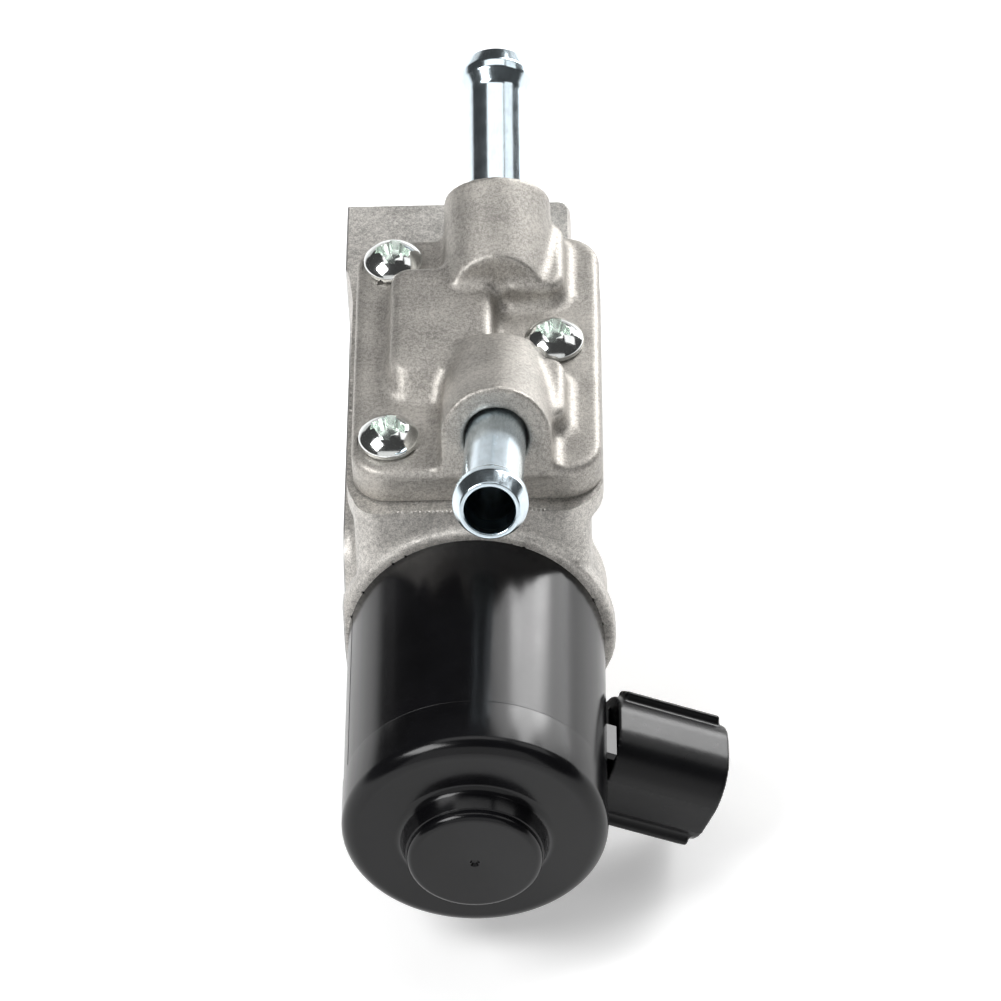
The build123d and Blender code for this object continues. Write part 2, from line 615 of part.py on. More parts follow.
def end_cap():
    """Pressed cap with rounded edge and a stepped button that has a small centre dimple."""
    cap = disc_y(CAP_RADIUS, CAP_FACE_Y, SEAM_Y)
    cap = fillet(cap.edges().group_by(Axis.Y)[0], CAP_EDGE_ROUND)
    button = disc_y(BUTTON_RADIUS, BUTTON_FACE_Y, CAP_FACE_Y)
    button = fillet(button.edges().group_by(Axis.Y)[0], BUTTON_EDGE_ROUND)
    cap += button
    foot = cap.edges().filter_by(GeomType.CIRCLE).filter_by(
        lambda e: abs(e.center().Y - CAP_FACE_Y) < 0.01 and abs(e.radius - BUTTON_RADIUS) < 0.01
    )
    cap = fillet(foot, BUTTON_FLARE)
    cap -= disc_y(CASE_BORE, CORE_FRONT, SEAM_Y)
    cap -= disc_y(BUTTON_RADIUS - CAP_WALL, BUTTON_FACE_Y + CAP_WALL, CORE_FRONT)
    dimple = turned([
        (0, BUTTON_FACE_Y - LIP_RISE),
        (DIMPLE_RADIUS, BUTTON_FACE_Y - LIP_RISE),
        (DIMPLE_RADIUS, BUTTON_FACE_Y),
        (DIMPLE_RADIUS / 3, BUTTON_FACE_Y + DIMPLE_DEPTH),
        (0, BUTTON_FACE_Y + DIMPLE_DEPTH),
    ])
    return cap - dimple


def cap_seal():
    """Square rubber ring between the core's flange and the case."""
    return ring_y(CASE_BORE, CASE_BORE - CAP_SEAL_WIDTH, BOBBIN_FRONT, BOBBIN_FRONT + CAP_SEAL_LENGTH)


def case_seal():
    """Flat rubber ring between the case's end and the step of its socket."""
    return ring_y(CASE_RADIUS, CASE_BORE, CASE_REAR, SOCKET_STEP_Y)


def pole_core():
    """Fixed core: front flange, stem in the bobbin, pocket for the return spring."""
    pocket = CORE_END - SPRING_POCKET
    return turned([
        (BUSH_RADIUS, CORE_FRONT),
        (CASE_BORE, CORE_FRONT),
        (CASE_BORE, BOBBIN_FRONT),
        (CORE_RADIUS, BOBBIN_FRONT),
        (CORE_RADIUS, CORE_END),
        (SPRING_POCKET_RADIUS, CORE_END),
        (SPRING_POCKET_RADIUS, pocket),
        (BUSH_RADIUS, pocket),
    ])


def coil_bobbin():
    """Moulded bobbin between the core's flange and the yoke plate."""
    drum = BOBBIN_BORE + BOBBIN_WALL
    return turned([
        (BOBBIN_BORE, BOBBIN_FRONT),
        (BOBBIN_FLANGE_RADIUS, BOBBIN_FRONT),
        (BOBBIN_FLANGE_RADIUS, BOBBIN_FRONT + BOBBIN_FLANGE),
        (drum, BOBBIN_FRONT + BOBBIN_FLANGE),
        (drum, YOKE_FRONT - BOBBIN_FLANGE),
        (BOBBIN_FLANGE_RADIUS, YOKE_FRONT - BOBBIN_FLANGE),
        (BOBBIN_FLANGE_RADIUS, YOKE_FRONT),
        (BOBBIN_BORE, YOKE_FRONT),
    ])


def coil_winding():
    """Copper winding as one closed ring."""
    drum = BOBBIN_BORE + BOBBIN_WALL
    return ring_y(WINDING_RADIUS, drum, BOBBIN_FRONT + BOBBIN_FLANGE, YOKE_FRONT - BOBBIN_FLANGE)


def yoke_plate():
    """Rear flux plate of the coil."""
    return ring_y(CASE_BORE, BOBBIN_BORE, YOKE_FRONT, HOLDER_FRONT)


def bearing_holder():
    """Closes the solenoid towards the valve, centres it in the bore and holds a bush and the seal."""
    return turned([
        (BOBBIN_BORE, HOLDER_FRONT),
        (CASE_BORE, HOLDER_FRONT),
        (CASE_BORE, SOCKET_FLOOR_Y),
        (BORE_RADIUS, SOCKET_FLOOR_Y),
        (BORE_RADIUS, SOCKET_FLOOR_Y + HOLDER_SPIGOT),
        (HOLDER_HUB_RADIUS, SOCKET_FLOOR_Y + HOLDER_SPIGOT),
        (HOLDER_HUB_RADIUS, HUB_REAR),
        (SHAFT_SEAL_RADIUS, HUB_REAR),
        (SHAFT_SEAL_RADIUS, MIDDLE_BUSH_REAR),
        (BUSH_RADIUS, MIDDLE_BUSH_REAR),
        (BUSH_RADIUS, HOLDER_FRONT + HOLDER_RECESS),
        (BOBBIN_BORE, HOLDER_FRONT + HOLDER_RECESS),
    ])


def bush(y_front, length):
    """Plain bearing for the shaft."""
    return ring_y(BUSH_RADIUS, SHAFT_RADIUS + RUNNING_GAP, y_front, y_front + length)


def shaft_seal():
    """Rubber lip ring round the shaft."""
    return ring_y(SHAFT_SEAL_RADIUS, SHAFT_RADIUS + RUNNING_GAP, MIDDLE_BUSH_REAR, HUB_REAR)


def plunger():
    """Steel armature pressed on the shaft, bevelled at both ends."""
    bevel = CLIP_THICKNESS
    return turned([
        (SHAFT_RADIUS, PLUNGER_FRONT),
        (PLUNGER_RADIUS - bevel, PLUNGER_FRONT),
        (PLUNGER_RADIUS, PLUNGER_FRONT + bevel),
        (PLUNGER_RADIUS, PLUNGER_END - bevel),
        (PLUNGER_RADIUS - bevel, PLUNGER_END),
        (SHAFT_RADIUS, PLUNGER_END),
    ])


def valve_shaft():
    """Ground shaft that carries the plunger and the poppet, with a groove for the clip."""
    shaft = disc_y(SHAFT_RADIUS, SHAFT_FRONT, SHAFT_REAR)
    return chamfer(shaft.edges().group_by(Axis.Y)[0] + shaft.edges().group_by(Axis.Y)[-1], SHAFT_RADIUS / 5)


def valve_poppet():
    """Poppet with its hub, bevelled where it meets the seat."""
    bevel = POPPET_RADIUS - SEAT_BORE
    back = POPPET_FACE - POPPET_THICKNESS
    return turned([
        (SHAFT_RADIUS, back - POPPET_HUB),
        (POPPET_HUB_RADIUS, back - POPPET_HUB),
        (POPPET_HUB_RADIUS, back),
        (POPPET_RADIUS, back),
        (POPPET_RADIUS, POPPET_FACE - bevel / 4),
        (POPPET_RADIUS - bevel / 4, POPPET_FACE),
        (SHAFT_RADIUS, POPPET_FACE),
    ])


def valve_clip():
    """Retaining clip behind the poppet, open on one side."""
    clip = ring_y(CLIP_RADIUS, SHAFT_RADIUS, POPPET_FACE, POPPET_FACE + CLIP_THICKNESS)
    gap = Pos(0, POPPET_FACE, -CLIP_RADIUS) * Box(SHAFT_RADIUS, 4 * CLIP_THICKNESS, 2 * CLIP_RADIUS)
    return clip - gap


def valve_seat():
    """Seat ring pressed into the bore between the two ports."""
    return turned([
        (SEAT_BORE, SEAT_FRONT),
        (BORE_RADIUS, SEAT_FRONT),
        (BORE_RADIUS, -SEAT_FRONT),
        (SEAT_BORE + SEAT_THICKNESS / 4, -SEAT_FRONT),
        (SEAT_BORE, -SEAT_FRONT - SEAT_THICKNESS / 4),
    ])


def rear_plug():
    """Plug that closes the bore at the back, with the hub for the rear bush."""
    hub = PLUG_FRONT - REAR_BUSH_LENGTH
    return turned([
        (0, PLUG_FRONT),
        (BUSH_RADIUS, PLUG_FRONT),
        (BUSH_RADIUS, hub),
        (PLUG_HUB_RADIUS, hub),
        (PLUG_HUB_RADIUS, PLUG_FRONT),
        (BORE_RADIUS, PLUG_FRONT),
        (BORE_RADIUS, PLUG_REAR),
        (0, PLUG_REAR),
    ])


def return_spring():
    """Helical spring from the pocket in the core to the plunger."""
    seat = CORE_END - SPRING_POCKET + SPRING_WIRE
    length = PLUNGER_FRONT - SPRING_WIRE - seat
    path = Helix(pitch=length / SPRING_TURNS, height=length, radius=SPRING_RADIUS)
    start = Plane(origin=path @ 0, z_dir=path % 0)
    coil = sweep(start * Circle(SPRING_WIRE), path=path, is_frenet=True)
    return Pos(0, seat, 0) * Rot(-90, 0, 0) * coil


def port_o_rings():
    """Two rings lying in the grooves of the mounting face."""
    return [
        Pos(PORT_RING_SECTION - FACE_TO_AXIS, y, 0)
        * Rot(0, 90, 0)
        * Torus(PORT_RING_RADIUS, PORT_RING_SECTION)
        for y in (-PORT_SPACING / 2, PORT_SPACING / 2)
    ]


def connector_shell():
    """Moulded connector: neck in the case window, hollow housing and two long ribs."""
    section = RectangleRounded(CONNECTOR_WIDTH, CONNECTOR_HEIGHT, CONNECTOR_CORNER)
    cavity = offset(section, -CONNECTOR_WALL)
    shell = extrude(connector_plane(CONNECTOR_START) * section, amount=CONNECTOR_END - CONNECTOR_START)
    neck = Rectangle(NECK_WIDTH, NECK_HEIGHT)
    neck = extrude(connector_plane(NECK_START) * neck, amount=CONNECTOR_START - NECK_START)
    rib_length = CONNECTOR_END - CONNECTOR_START - 2 * RIB_END_GAP
    half = CONNECTOR_HEIGHT / 2
    ribs = Sketch() + [
        Rot(0, 0, turn) * Pos(0, half / 2 + RIB_RISE / 2) * Rectangle(RIB_WIDTH, half + RIB_RISE)
        for turn in (-RIB_TURN, 180 - RIB_TURN)
    ]
    rails = extrude(connector_plane(CONNECTOR_START + RIB_END_GAP) * ribs, amount=rib_length)
    shell = shell + neck + rails
    floor = connector_plane(CONNECTOR_END - CONNECTOR_DEPTH)
    return shell - extrude(floor * cavity, amount=2 * CONNECTOR_DEPTH)


def connector_terminals():
    """Two flat blades standing in the connector."""
    start = CONNECTOR_END - CONNECTOR_DEPTH
    end = CONNECTOR_END - TERMINAL_END_GAP
    blades = []
    for side in (-1, 1):
        blade = Pos(side * TERMINAL_SPACING / 2, 0) * Rectangle(TERMINAL_WIDTH, TERMINAL_THICKNESS)
        blades.append(extrude(connector_plane(start) * blade, amount=end - start))
    return blades


NODES = {
    "valve_body": valve_body,
    "coolant_cover": coolant_cover,
    "cover_gasket": cover_gasket,
    "cover_screws": cover_screws,
    "front_coolant_pipe": lambda: coolant_pipe(FRONT_PIPE_Y, -1),
    "rear_coolant_pipe": lambda: coolant_pipe(REAR_PIPE_Y, 1),
    "solenoid_case": solenoid_case,
    "end_cap": end_cap,
    "cap_seal": cap_seal,
    "case_seal": case_seal,
    "pole_core": pole_core,
    "coil_bobbin": coil_bobbin,
    "coil_winding": coil_winding,
    "yoke_plate": yoke_plate,
    "bearing_holder": bearing_holder,
    "front_bush": lambda: bush(FRONT_BUSH_FRONT, FRONT_BUSH_LENGTH),
    "middle_bush": lambda: bush(MIDDLE_BUSH_REAR - MIDDLE_BUSH_LENGTH, MIDDLE_BUSH_LENGTH),
    "rear_bush": lambda: bush(PLUG_FRONT - REAR_BUSH_LENGTH, REAR_BUSH_LENGTH),
    "shaft_seal": shaft_seal,
    "plunger": plunger,
    "valve_shaft": valve_shaft,
    "valve_poppet": valve_poppet,
    "valve_clip": valve_clip,
    "valve_seat": valve_seat,
    "rear_plug": rear_plug,
    "return_spring": return_spring,
    "port_o_rings": port_o_rings,
    "connector_shell": connector_shell,
    "connector_terminals": connector_terminals,
}

os.makedirs("parts", exist_ok=True)
to_face = Location((FACE_TO_AXIS, 0, 0))
for name, make in NODES.items():
    made = make()
    solids = made if isinstance(made, list) else [made]
    placed = [piece for solid in solids for piece in solid.moved(to_face).solids()]
    export_step(Compound(children=placed) if len(placed) > 1 else placed[0], f"parts/{name}.step")
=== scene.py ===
"""Looks of the idle air control valve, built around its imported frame.

Lengths in this file are millimetres in the part's own frame: X away from the mounting face, Y from the
solenoid to the closed end, Z up to the coolant cover. They become metres when a mesh is written.
"""

import logging
from dataclasses import dataclass, field
from enum import Enum
from math import cos, pi, radians, sin, tan

import bmesh
import bpy
import numpy as np
import openvdb as vdb
from mathutils import Matrix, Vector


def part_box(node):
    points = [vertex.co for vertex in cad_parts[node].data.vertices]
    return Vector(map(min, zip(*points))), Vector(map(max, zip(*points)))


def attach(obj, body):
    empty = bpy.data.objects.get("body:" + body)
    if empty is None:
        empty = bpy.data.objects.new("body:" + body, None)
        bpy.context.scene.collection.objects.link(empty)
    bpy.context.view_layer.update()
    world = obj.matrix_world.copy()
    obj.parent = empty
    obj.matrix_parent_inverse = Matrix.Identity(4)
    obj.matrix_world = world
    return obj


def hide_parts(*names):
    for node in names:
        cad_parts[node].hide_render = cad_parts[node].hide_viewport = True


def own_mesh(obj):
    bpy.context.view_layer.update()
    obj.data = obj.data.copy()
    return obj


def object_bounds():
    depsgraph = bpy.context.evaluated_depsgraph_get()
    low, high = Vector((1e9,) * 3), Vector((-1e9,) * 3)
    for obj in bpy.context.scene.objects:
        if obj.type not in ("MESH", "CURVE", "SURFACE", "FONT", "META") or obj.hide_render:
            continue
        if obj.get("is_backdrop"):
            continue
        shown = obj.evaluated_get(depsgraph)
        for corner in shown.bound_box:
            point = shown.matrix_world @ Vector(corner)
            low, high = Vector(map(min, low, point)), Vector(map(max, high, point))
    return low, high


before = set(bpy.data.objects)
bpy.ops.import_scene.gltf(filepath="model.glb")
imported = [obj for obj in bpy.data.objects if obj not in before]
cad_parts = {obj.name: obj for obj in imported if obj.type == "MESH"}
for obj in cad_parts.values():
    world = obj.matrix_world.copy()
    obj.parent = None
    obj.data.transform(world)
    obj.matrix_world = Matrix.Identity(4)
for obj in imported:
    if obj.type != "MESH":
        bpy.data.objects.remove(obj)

LOG = logging.getLogger("valve")
MM = 0.001
IMAGE_WIDTH = 1001
AXIS_X = 20.4
STARTUP_OBJECTS = ("Cube", "Light", "Camera")
Triple = tuple[float, float, float]


class Body(Enum):
    """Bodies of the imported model."""

    HOUSING = "housing"
    ARMATURE = "armature"


class Slot(Enum):
    """Names of material slots."""

    CAST_BODY = "cast_body"
    CAST_COVER = "cast_cover"
    ZINC = "zinc_plate"
    PAINT = "black_paint"
    MOULDING = "black_moulding"
    SOFT_IRON = "soft_iron"
    GROUND_STEEL = "ground_steel"
    TURNED = "turned_aluminium"
    BRONZE = "bearing_bronze"
    COPPER = "copper_wire"
    RUBBER = "seal_rubber"
    SHEET = "gasket_sheet"
    NYLON = "natural_moulding"
    TINNED = "tinned_brass"


class Socket:
    """A shader socket whose operators add Math nodes."""

    def __init__(self, tree: "Tree", link: bpy.types.NodeSocket) -> None:
        """Keep the socket and the tree that it belongs to."""
        self.tree = tree
        self.link = link

    def _maths(self, operation: str, *values: "Socket | float") -> "Socket":
        """Add one Math node and return its result."""
        return self.tree.add("ShaderNodeMath", {"operation": operation}, dict(enumerate(values)))

    def __add__(self, other: "Socket | float") -> "Socket":
        """Sum."""
        return self._maths("ADD", self, other)

    def __sub__(self, other: "Socket | float") -> "Socket":
        """Difference."""
        return self._maths("SUBTRACT", self, other)

    def __rsub__(self, other: float) -> "Socket":
        """Difference with a number on the left."""
        return self._maths("SUBTRACT", other, self)

    def __mul__(self, other: "Socket | float") -> "Socket":
        """Product."""
        return self._maths("MULTIPLY", self, other)

    __radd__ = __add__
    __rmul__ = __mul__

    def sine(self) -> "Socket":
        """Sine of the value."""
        return self._maths("SINE", self)

    def step(self, low: float, high: float) -> "Socket":
        """Smooth step between 0 and 1.

        Args:
            low: value where the step is 0. It may be larger than high.
            high: value where the step is 1.

        Returns:
            The step.
        """
        return self.tree.add(
            "ShaderNodeMapRange",
            {"interpolation_type": "SMOOTHSTEP"},
            {"Value": self, "From Min": low, "From Max": high},
        )


class Tree:
    """Node tree of one material, with one method that adds any node."""

    def __init__(self, name: str) -> None:
        """Make an empty material called name."""
        self.material = bpy.data.materials.new(name)
        self.material.use_nodes = True
        self.nodes = self.material.node_tree.nodes
        self.links = self.material.node_tree.links
        self.nodes.clear()

    def add(
        self, kind: str, settings: dict | None = None, inputs: dict | None = None, output: str | int = 0
    ) -> Socket:
        """Add a node.

        Args:
            kind: the node's type name.
            settings: properties that are set first, such as a Math node's operation.
            inputs: a value or Socket for each input, by name or number.
            output: which output to return.

        Returns:
            The chosen output.
        """
        node = self.nodes.new(kind)
        for key, value in (settings or {}).items():
            setattr(node, key, value)
        for key, value in (inputs or {}).items():
            if isinstance(value, Socket):
                self.links.new(value.link, node.inputs[key])
            else:
                node.inputs[key].default_value = value
        return Socket(self, node.outputs[output] if len(node.outputs) else node.inputs[0])

    def place(self) -> Socket:
        """Object coordinates, which are metres in the part's frame."""
        return self.add("ShaderNodeTexCoord", output="Object")

    def along(self, direction: Triple) -> Socket:
        """Distance from the origin along a unit vector, in millimetres."""
        inputs = {0: self.place(), 1: direction}
        return self.add("ShaderNodeVectorMath", {"operation": "DOT_PRODUCT"}, inputs, "Value") * (1 / MM)

    def radius(self, centre: Triple, axis: Triple) -> Socket:
        """Distance from an axis, in millimetres.

        Args:
            centre: point of the axis in millimetres.
            axis: unit vector along it.

        Returns:
            The distance.
        """
        shifted = self.add(
            "ShaderNodeVectorMath",
            {"operation": "SUBTRACT"},
            {0: self.place(), 1: tuple(c * MM for c in centre)},
        )
        crossed = self.add("ShaderNodeVectorMath", {"operation": "CROSS_PRODUCT"}, {0: shifted, 1: axis})
        return self.add("ShaderNodeVectorMath", {"operation": "LENGTH"}, {0: crossed}, "Value") * (1 / MM)

    def noise(
        self, grain: float, detail: float = 2.0, stretch: Triple = (1, 1, 1), seed: float = 0.0
    ) -> Socket:
        """Noise in three dimensions.

        Args:
            grain: size of its features in millimetres.
            detail: octaves of finer noise.
            stretch: scale of each axis, so that a small number draws the features out along it.
            seed: shift that makes two noises differ.

        Returns:
            Values around 0.5.
        """
        mapped = self.add(
            "ShaderNodeMapping", None, {"Vector": self.place(), "Scale": stretch, "Location": (seed,) * 3}
        )
        inputs = {"Vector": mapped, "Scale": 1 / (grain * MM), "Detail": detail, "Roughness": 0.55}
        return self.add("ShaderNodeTexNoise", None, inputs)

    def mix(self, factor: "Socket | float", low: "Triple | Socket", high: "Triple | Socket") -> Socket:
        """Mix two colours by factor."""
        pair = [colour if isinstance(colour, Socket) else (*colour, 1.0) for colour in (low, high)]
        return self.add("ShaderNodeMix", {"data_type": "RGBA"}, {0: factor, 6: pair[0], 7: pair[1]}, 2)

    def bump(self, height: Socket, depth: float) -> Socket:
        """Normal bent by a relief from 0 to 1, which stands for depth millimetres."""
        return self.add("ShaderNodeBump", None, {"Height": height, "Distance": depth * MM, "Strength": 1.0})

    def finish(self, **inputs: "Socket | float | Triple") -> bpy.types.Material:
        """Close the tree with a Principled shader.

        Args:
            **inputs: its inputs, with underscores for spaces.

        Returns:
            The material.
        """
        named = {
            key.replace("_", " "): (*value, 1.0) if isinstance(value, tuple) else value
            for key, value in inputs.items()
        }
        shader = self.add("ShaderNodeBsdfPrincipled", None, named, "BSDF")
        self.add("ShaderNodeOutputMaterial", None, {"Surface": shader})
        return self.material


def unit(vector: Triple) -> np.ndarray:
    """Vector of length one in the same direction."""
    array = np.asarray(vector, float)
    return array / np.linalg.norm(array)


def node_box(node: str) -> np.ndarray:
    """Lowest and highest corner of a CAD node, in millimetres."""
    return np.array(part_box(node)) / MM


def new_object(
    name: str, points: np.ndarray, faces: list[np.ndarray], normals: np.ndarray | None = None
) -> bpy.types.Object:
    """Write arrays into a mesh object at the origin.

    Args:
        name: the piece's name.
        points: corners in millimetres.
        faces: arrays of corner numbers, one array for each number of sides.
        normals: normal at each corner of each face, in the faces' order.

    Returns:
        The object, shaded smooth.
    """
    mesh = bpy.data.meshes.new(name)
    corners = np.concatenate([block.ravel() for block in faces]).astype(np.int32)
    totals = np.concatenate([np.full(len(block), block.shape[1]) for block in faces])
    starts = np.concatenate([[0], np.cumsum(totals)[:-1]]).astype(np.int32)
    mesh.vertices.add(len(points))
    mesh.vertices.foreach_set("co", (points * MM).astype(np.float32).ravel())
    mesh.loops.add(len(corners))
    mesh.loops.foreach_set("vertex_index", corners)
    mesh.polygons.add(len(totals))
    mesh.polygons.foreach_set("loop_start", starts)
    mesh.update(calc_edges=True)
    mesh.shade_smooth()
    if normals is None:
        mesh.validate()
    else:
        mesh.normals_split_custom_set(normals.tolist())
    obj = bpy.data.objects.new(name, mesh)
    bpy.context.scene.collection.objects.link(obj)
    return obj


def weld(obj: bpy.types.Object, gap: float = 0.002) -> None:
    """Merge corners closer than gap millimetres and point the faces outwards."""
    work = bmesh.new()
    work.from_mesh(obj.data)
    bmesh.ops.remove_doubles(work, verts=work.verts, dist=gap * MM)
    bmesh.ops.dissolve_degenerate(work, edges=work.edges, dist=gap * MM / 10)
    bmesh.ops.recalc_face_normals(work, faces=work.faces)
    work.to_mesh(obj.data)
    work.free()


def grid_faces(rows: int, columns: int, wrap_rows: bool, wrap_columns: bool) -> np.ndarray:
    """Squares of a grid of points that is numbered row by row.

    Args:
        rows: points along the first parameter.
        columns: points along the second parameter.
        wrap_rows: the last row joins the first.
        wrap_columns: the last column joins the first.

    Returns:
        Four corner numbers for each square.
    """
    squares = (rows - (not wrap_rows), columns - (not wrap_columns))
    u, v = (index.ravel() for index in np.indices(squares))
    u_next, v_next = (u + 1) % rows, (v + 1) % columns
    corners = ((u, v), (u, v_next), (u_next, v_next), (u_next, v))
    return np.stack([row * columns + column for row, column in corners], 1)


def rounded(corners: list[Triple], arc_points: int = 9) -> np.ndarray:
    """Outline whose corners are replaced by arcs.

    Each arc touches both sides at radius / tan(half the inner angle) from its corner.

    Args:
        corners: (first coordinate, second coordinate, radius) of each corner; the ends take no radius.
        arc_points: points on each arc.

    Returns:
        Points of the outline.
    """
    parts = [np.array([corners[0][:2]])]
    for before, (x, y, radius), after in zip(corners, corners[1:-1], corners[2:]):
        corner = np.array([x, y])
        if radius <= 0:
            parts.append(corner[None])
            continue
        back = unit(np.array(before[:2]) - corner)
        on = unit(np.array(after[:2]) - corner)
        half = np.arccos(np.clip(back @ on, -1, 1)) / 2
        centre = corner + unit(back + on) * radius / sin(half)
        start = corner + back * radius / tan(half) - centre
        end = corner + on * radius / tan(half) - centre
        sweep = np.arctan2(start[0] * end[1] - start[1] * end[0], start @ end)
        turn = np.linspace(0, sweep, arc_points)
        parts.append(
            centre
            + np.outer(np.cos(turn), start)
            + np.outer(np.sin(turn), np.array([-start[1], start[0]]))
        )
    parts.append(np.array([corners[-1][:2]]))
    return np.concatenate(parts)


@dataclass
class Lathe:
    """Surface of revolution: point = origin + along * axis + radius * (cos u * side + sin u * other side)."""

    origin: Triple
    axis: Triple
    segments: int

    def make(self, name: str, outline: np.ndarray, closed: bool) -> bpy.types.Object:
        """Turn an outline about the axis.

        Args:
            name: the piece's name.
            outline: (radius, along) of each point.
            closed: the outline is a loop. Otherwise its ends lie on the axis.

        Returns:
            The piece.
        """
        axis = unit(self.axis)
        side = unit(np.cross(axis, (0, 0, 1) if abs(axis[2]) < 0.9 else (1, 0, 0)))
        other = np.cross(axis, side)
        angle = np.linspace(0, 2 * np.pi, self.segments, endpoint=False)[:, None, None]
        radius = outline[None, :, 0, None]
        along = outline[None, :, 1, None]
        outward = np.cos(angle) * side + np.sin(angle) * other
        points = np.asarray(self.origin) + along * axis + radius * outward
        faces = grid_faces(self.segments, len(outline), True, closed)
        obj = new_object(name, points.reshape(-1, 3), [faces])
        weld(obj)
        return obj


@dataclass
class Field:
    """Distances to a solid's surface on a lattice of cubes, negative inside, all in millimetres."""

    step: float
    start: np.ndarray
    values: np.ndarray
    band: float
    parts: list[np.ndarray] = field(default_factory=list)

    @classmethod
    def measure(
        cls, points: np.ndarray, triangles: np.ndarray, quads: np.ndarray | None, like: "Field"
    ) -> "Field":
        """Measure distances to a closed surface on the lattice of another field."""
        grid = vdb.FloatGrid.createLevelSetFromPolygons(
            points.astype(np.float32),
            triangles=triangles.astype(np.uint32),
            quads=quads,
            transform=vdb.createLinearTransform(voxelSize=like.step),
            halfWidth=like.band / like.step,
        )
        values = np.zeros(like.values.shape, np.float32)
        grid.copyToArray(values, ijk=tuple(int(i) for i in like.start))
        return cls(like.step, like.start, values, like.band)

    @classmethod
    def of_node(cls, node: str, step: float, band: float) -> "Field":
        """Measure a CAD node.

        Args:
            node: its name.
            step: side of the lattice's cubes.
            band: largest distance that is told apart.

        Returns:
            The field.
        """
        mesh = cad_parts[node].data
        mesh.calc_loop_triangles()
        points = np.zeros(len(mesh.vertices) * 3, np.float32)
        mesh.vertices.foreach_get("co", points)
        triangles = np.zeros(len(mesh.loop_triangles) * 3, np.int32)
        mesh.loop_triangles.foreach_get("vertices", triangles)
        low, high = node_box(node)
        start = np.floor((low - band) / step).astype(int) - 2
        shape = np.ceil((high + band) / step).astype(int) + 3 - start
        like = cls(step, start, np.zeros(shape, np.float32), band)
        return cls.measure(points.reshape(-1, 3) / MM, triangles.reshape(-1, 3), None, like)

    def axes(self) -> list[np.ndarray]:
        """X, Y and Z of the lattice points, shaped to spread over the lattice."""
        shape = self.values.shape
        return [
            ((self.start[k] + np.arange(shape[k])) * self.step).reshape(np.roll((-1, 1, 1), k))
            for k in range(3)
        ]

    def grid(self) -> vdb.FloatGrid:
        """The distances as a grid that can be meshed."""
        grid = vdb.FloatGrid(float(self.band * 2))
        grid.transform = vdb.createLinearTransform(voxelSize=self.step)
        grid.copyFromArray(self.values, ijk=tuple(int(i) for i in self.start))
        return grid

    def surface(self, level: float) -> tuple[np.ndarray, np.ndarray]:
        """Points and quads of the surface where the distance is level."""
        return self.grid().convertToQuads(isovalue=level)

    def grown(self, by: float) -> "Field":
        """Distances to the surface moved outwards by a length, measured again."""
        points, quads = self.surface(by)
        return Field.measure(points, np.zeros((0, 3), np.uint32), quads, self)

    def filleted(self, radius: float) -> "Field":
        """Round every inner corner: grow by radius, measure again, and shrink by it."""
        wide = self.grown(radius)
        return Field(self.step, self.start, wide.values + radius, self.band)

    def blunted(self, radius: float) -> "Field":
        """Round every outer edge: shrink by radius, measure again, and grow by it."""
        narrow = self.grown(-radius)
        return Field(self.step, self.start, narrow.values - radius, self.band)

    def joined(self, *others: np.ndarray) -> "Field":
        """Union with other solids' distances."""
        return Field(self.step, self.start, np.minimum.reduce([self.values, *others]), self.band)

    def cut(self, *tools: np.ndarray) -> "Field":
        """Remove other solids, given by their distances, and remember the parts whose edges stay crisp."""
        parts = [self.values, *[-tool for tool in tools]]
        return Field(self.step, self.start, np.maximum.reduce(parts), self.band, parts)

    def extended(self, axis: int, level: float, upwards: bool = False) -> "Field":
        """Carry the section at a level on to nearly the lattice's edge, and measure again.

        The section's own distances may be to a wall behind it, which the longer solid must not keep.

        Args:
            axis: 0, 1 or 2 for X, Y or Z.
            level: place of the section.
            upwards: carry it towards higher coordinates.

        Returns:
            The longer solid.
        """
        values = np.moveaxis(self.values.copy(), axis, 0)
        section = int(round(level / self.step)) - int(self.start[axis])
        if upwards:
            values[section:] = values[section]
            values[-3:] = self.band
        else:
            values[:section] = values[section]
            values[:3] = self.band
        longer = Field(self.step, self.start, np.moveaxis(values, 0, axis).copy(), self.band)
        return longer.grown(0.0)

    def rod(self, centre: Triple, axis: int, radius: float, low: float, high: float) -> np.ndarray:
        """Distances to a cylinder along one of the frame's axes.

        Args:
            centre: any point of its axis.
            axis: 0, 1 or 2 for X, Y or Z.
            radius: its radius.
            low: where it starts along the axis.
            high: where it ends.

        Returns:
            The distances: the larger of (distance from the axis - radius) and (distance beyond its ends).
        """
        spread = self.axes()
        across = [k for k in range(3) if k != axis]
        reach = np.sqrt(sum((spread[k] - centre[k]) ** 2 for k in across)) - radius
        ends = np.maximum(low - spread[axis], spread[axis] - high)
        return np.maximum(reach, ends).astype(np.float32)

    def sample(self, values: np.ndarray, points: np.ndarray) -> np.ndarray:
        """Values of a lattice array at points, from the eight lattice points round each."""
        place = points / self.step - self.start
        cell = np.clip(np.floor(place).astype(int), 0, np.array(values.shape) - 2)
        part = np.clip(place - cell, 0, 1)
        total = np.zeros(len(points))
        for corner in np.ndindex(2, 2, 2):
            weight = np.prod(np.where(corner, part, 1 - part), axis=1)
            total += weight * values[tuple((cell + corner).T)]
        return total

    def slope(self, values: np.ndarray, points: np.ndarray) -> np.ndarray:
        """Slope of a lattice array at points: half the difference over a cell each way."""
        shifts = np.eye(3) * self.step * 0.5
        sides = [
            self.sample(values, points + shift) - self.sample(values, points - shift) for shift in shifts
        ]
        return np.stack(sides, 1) / self.step

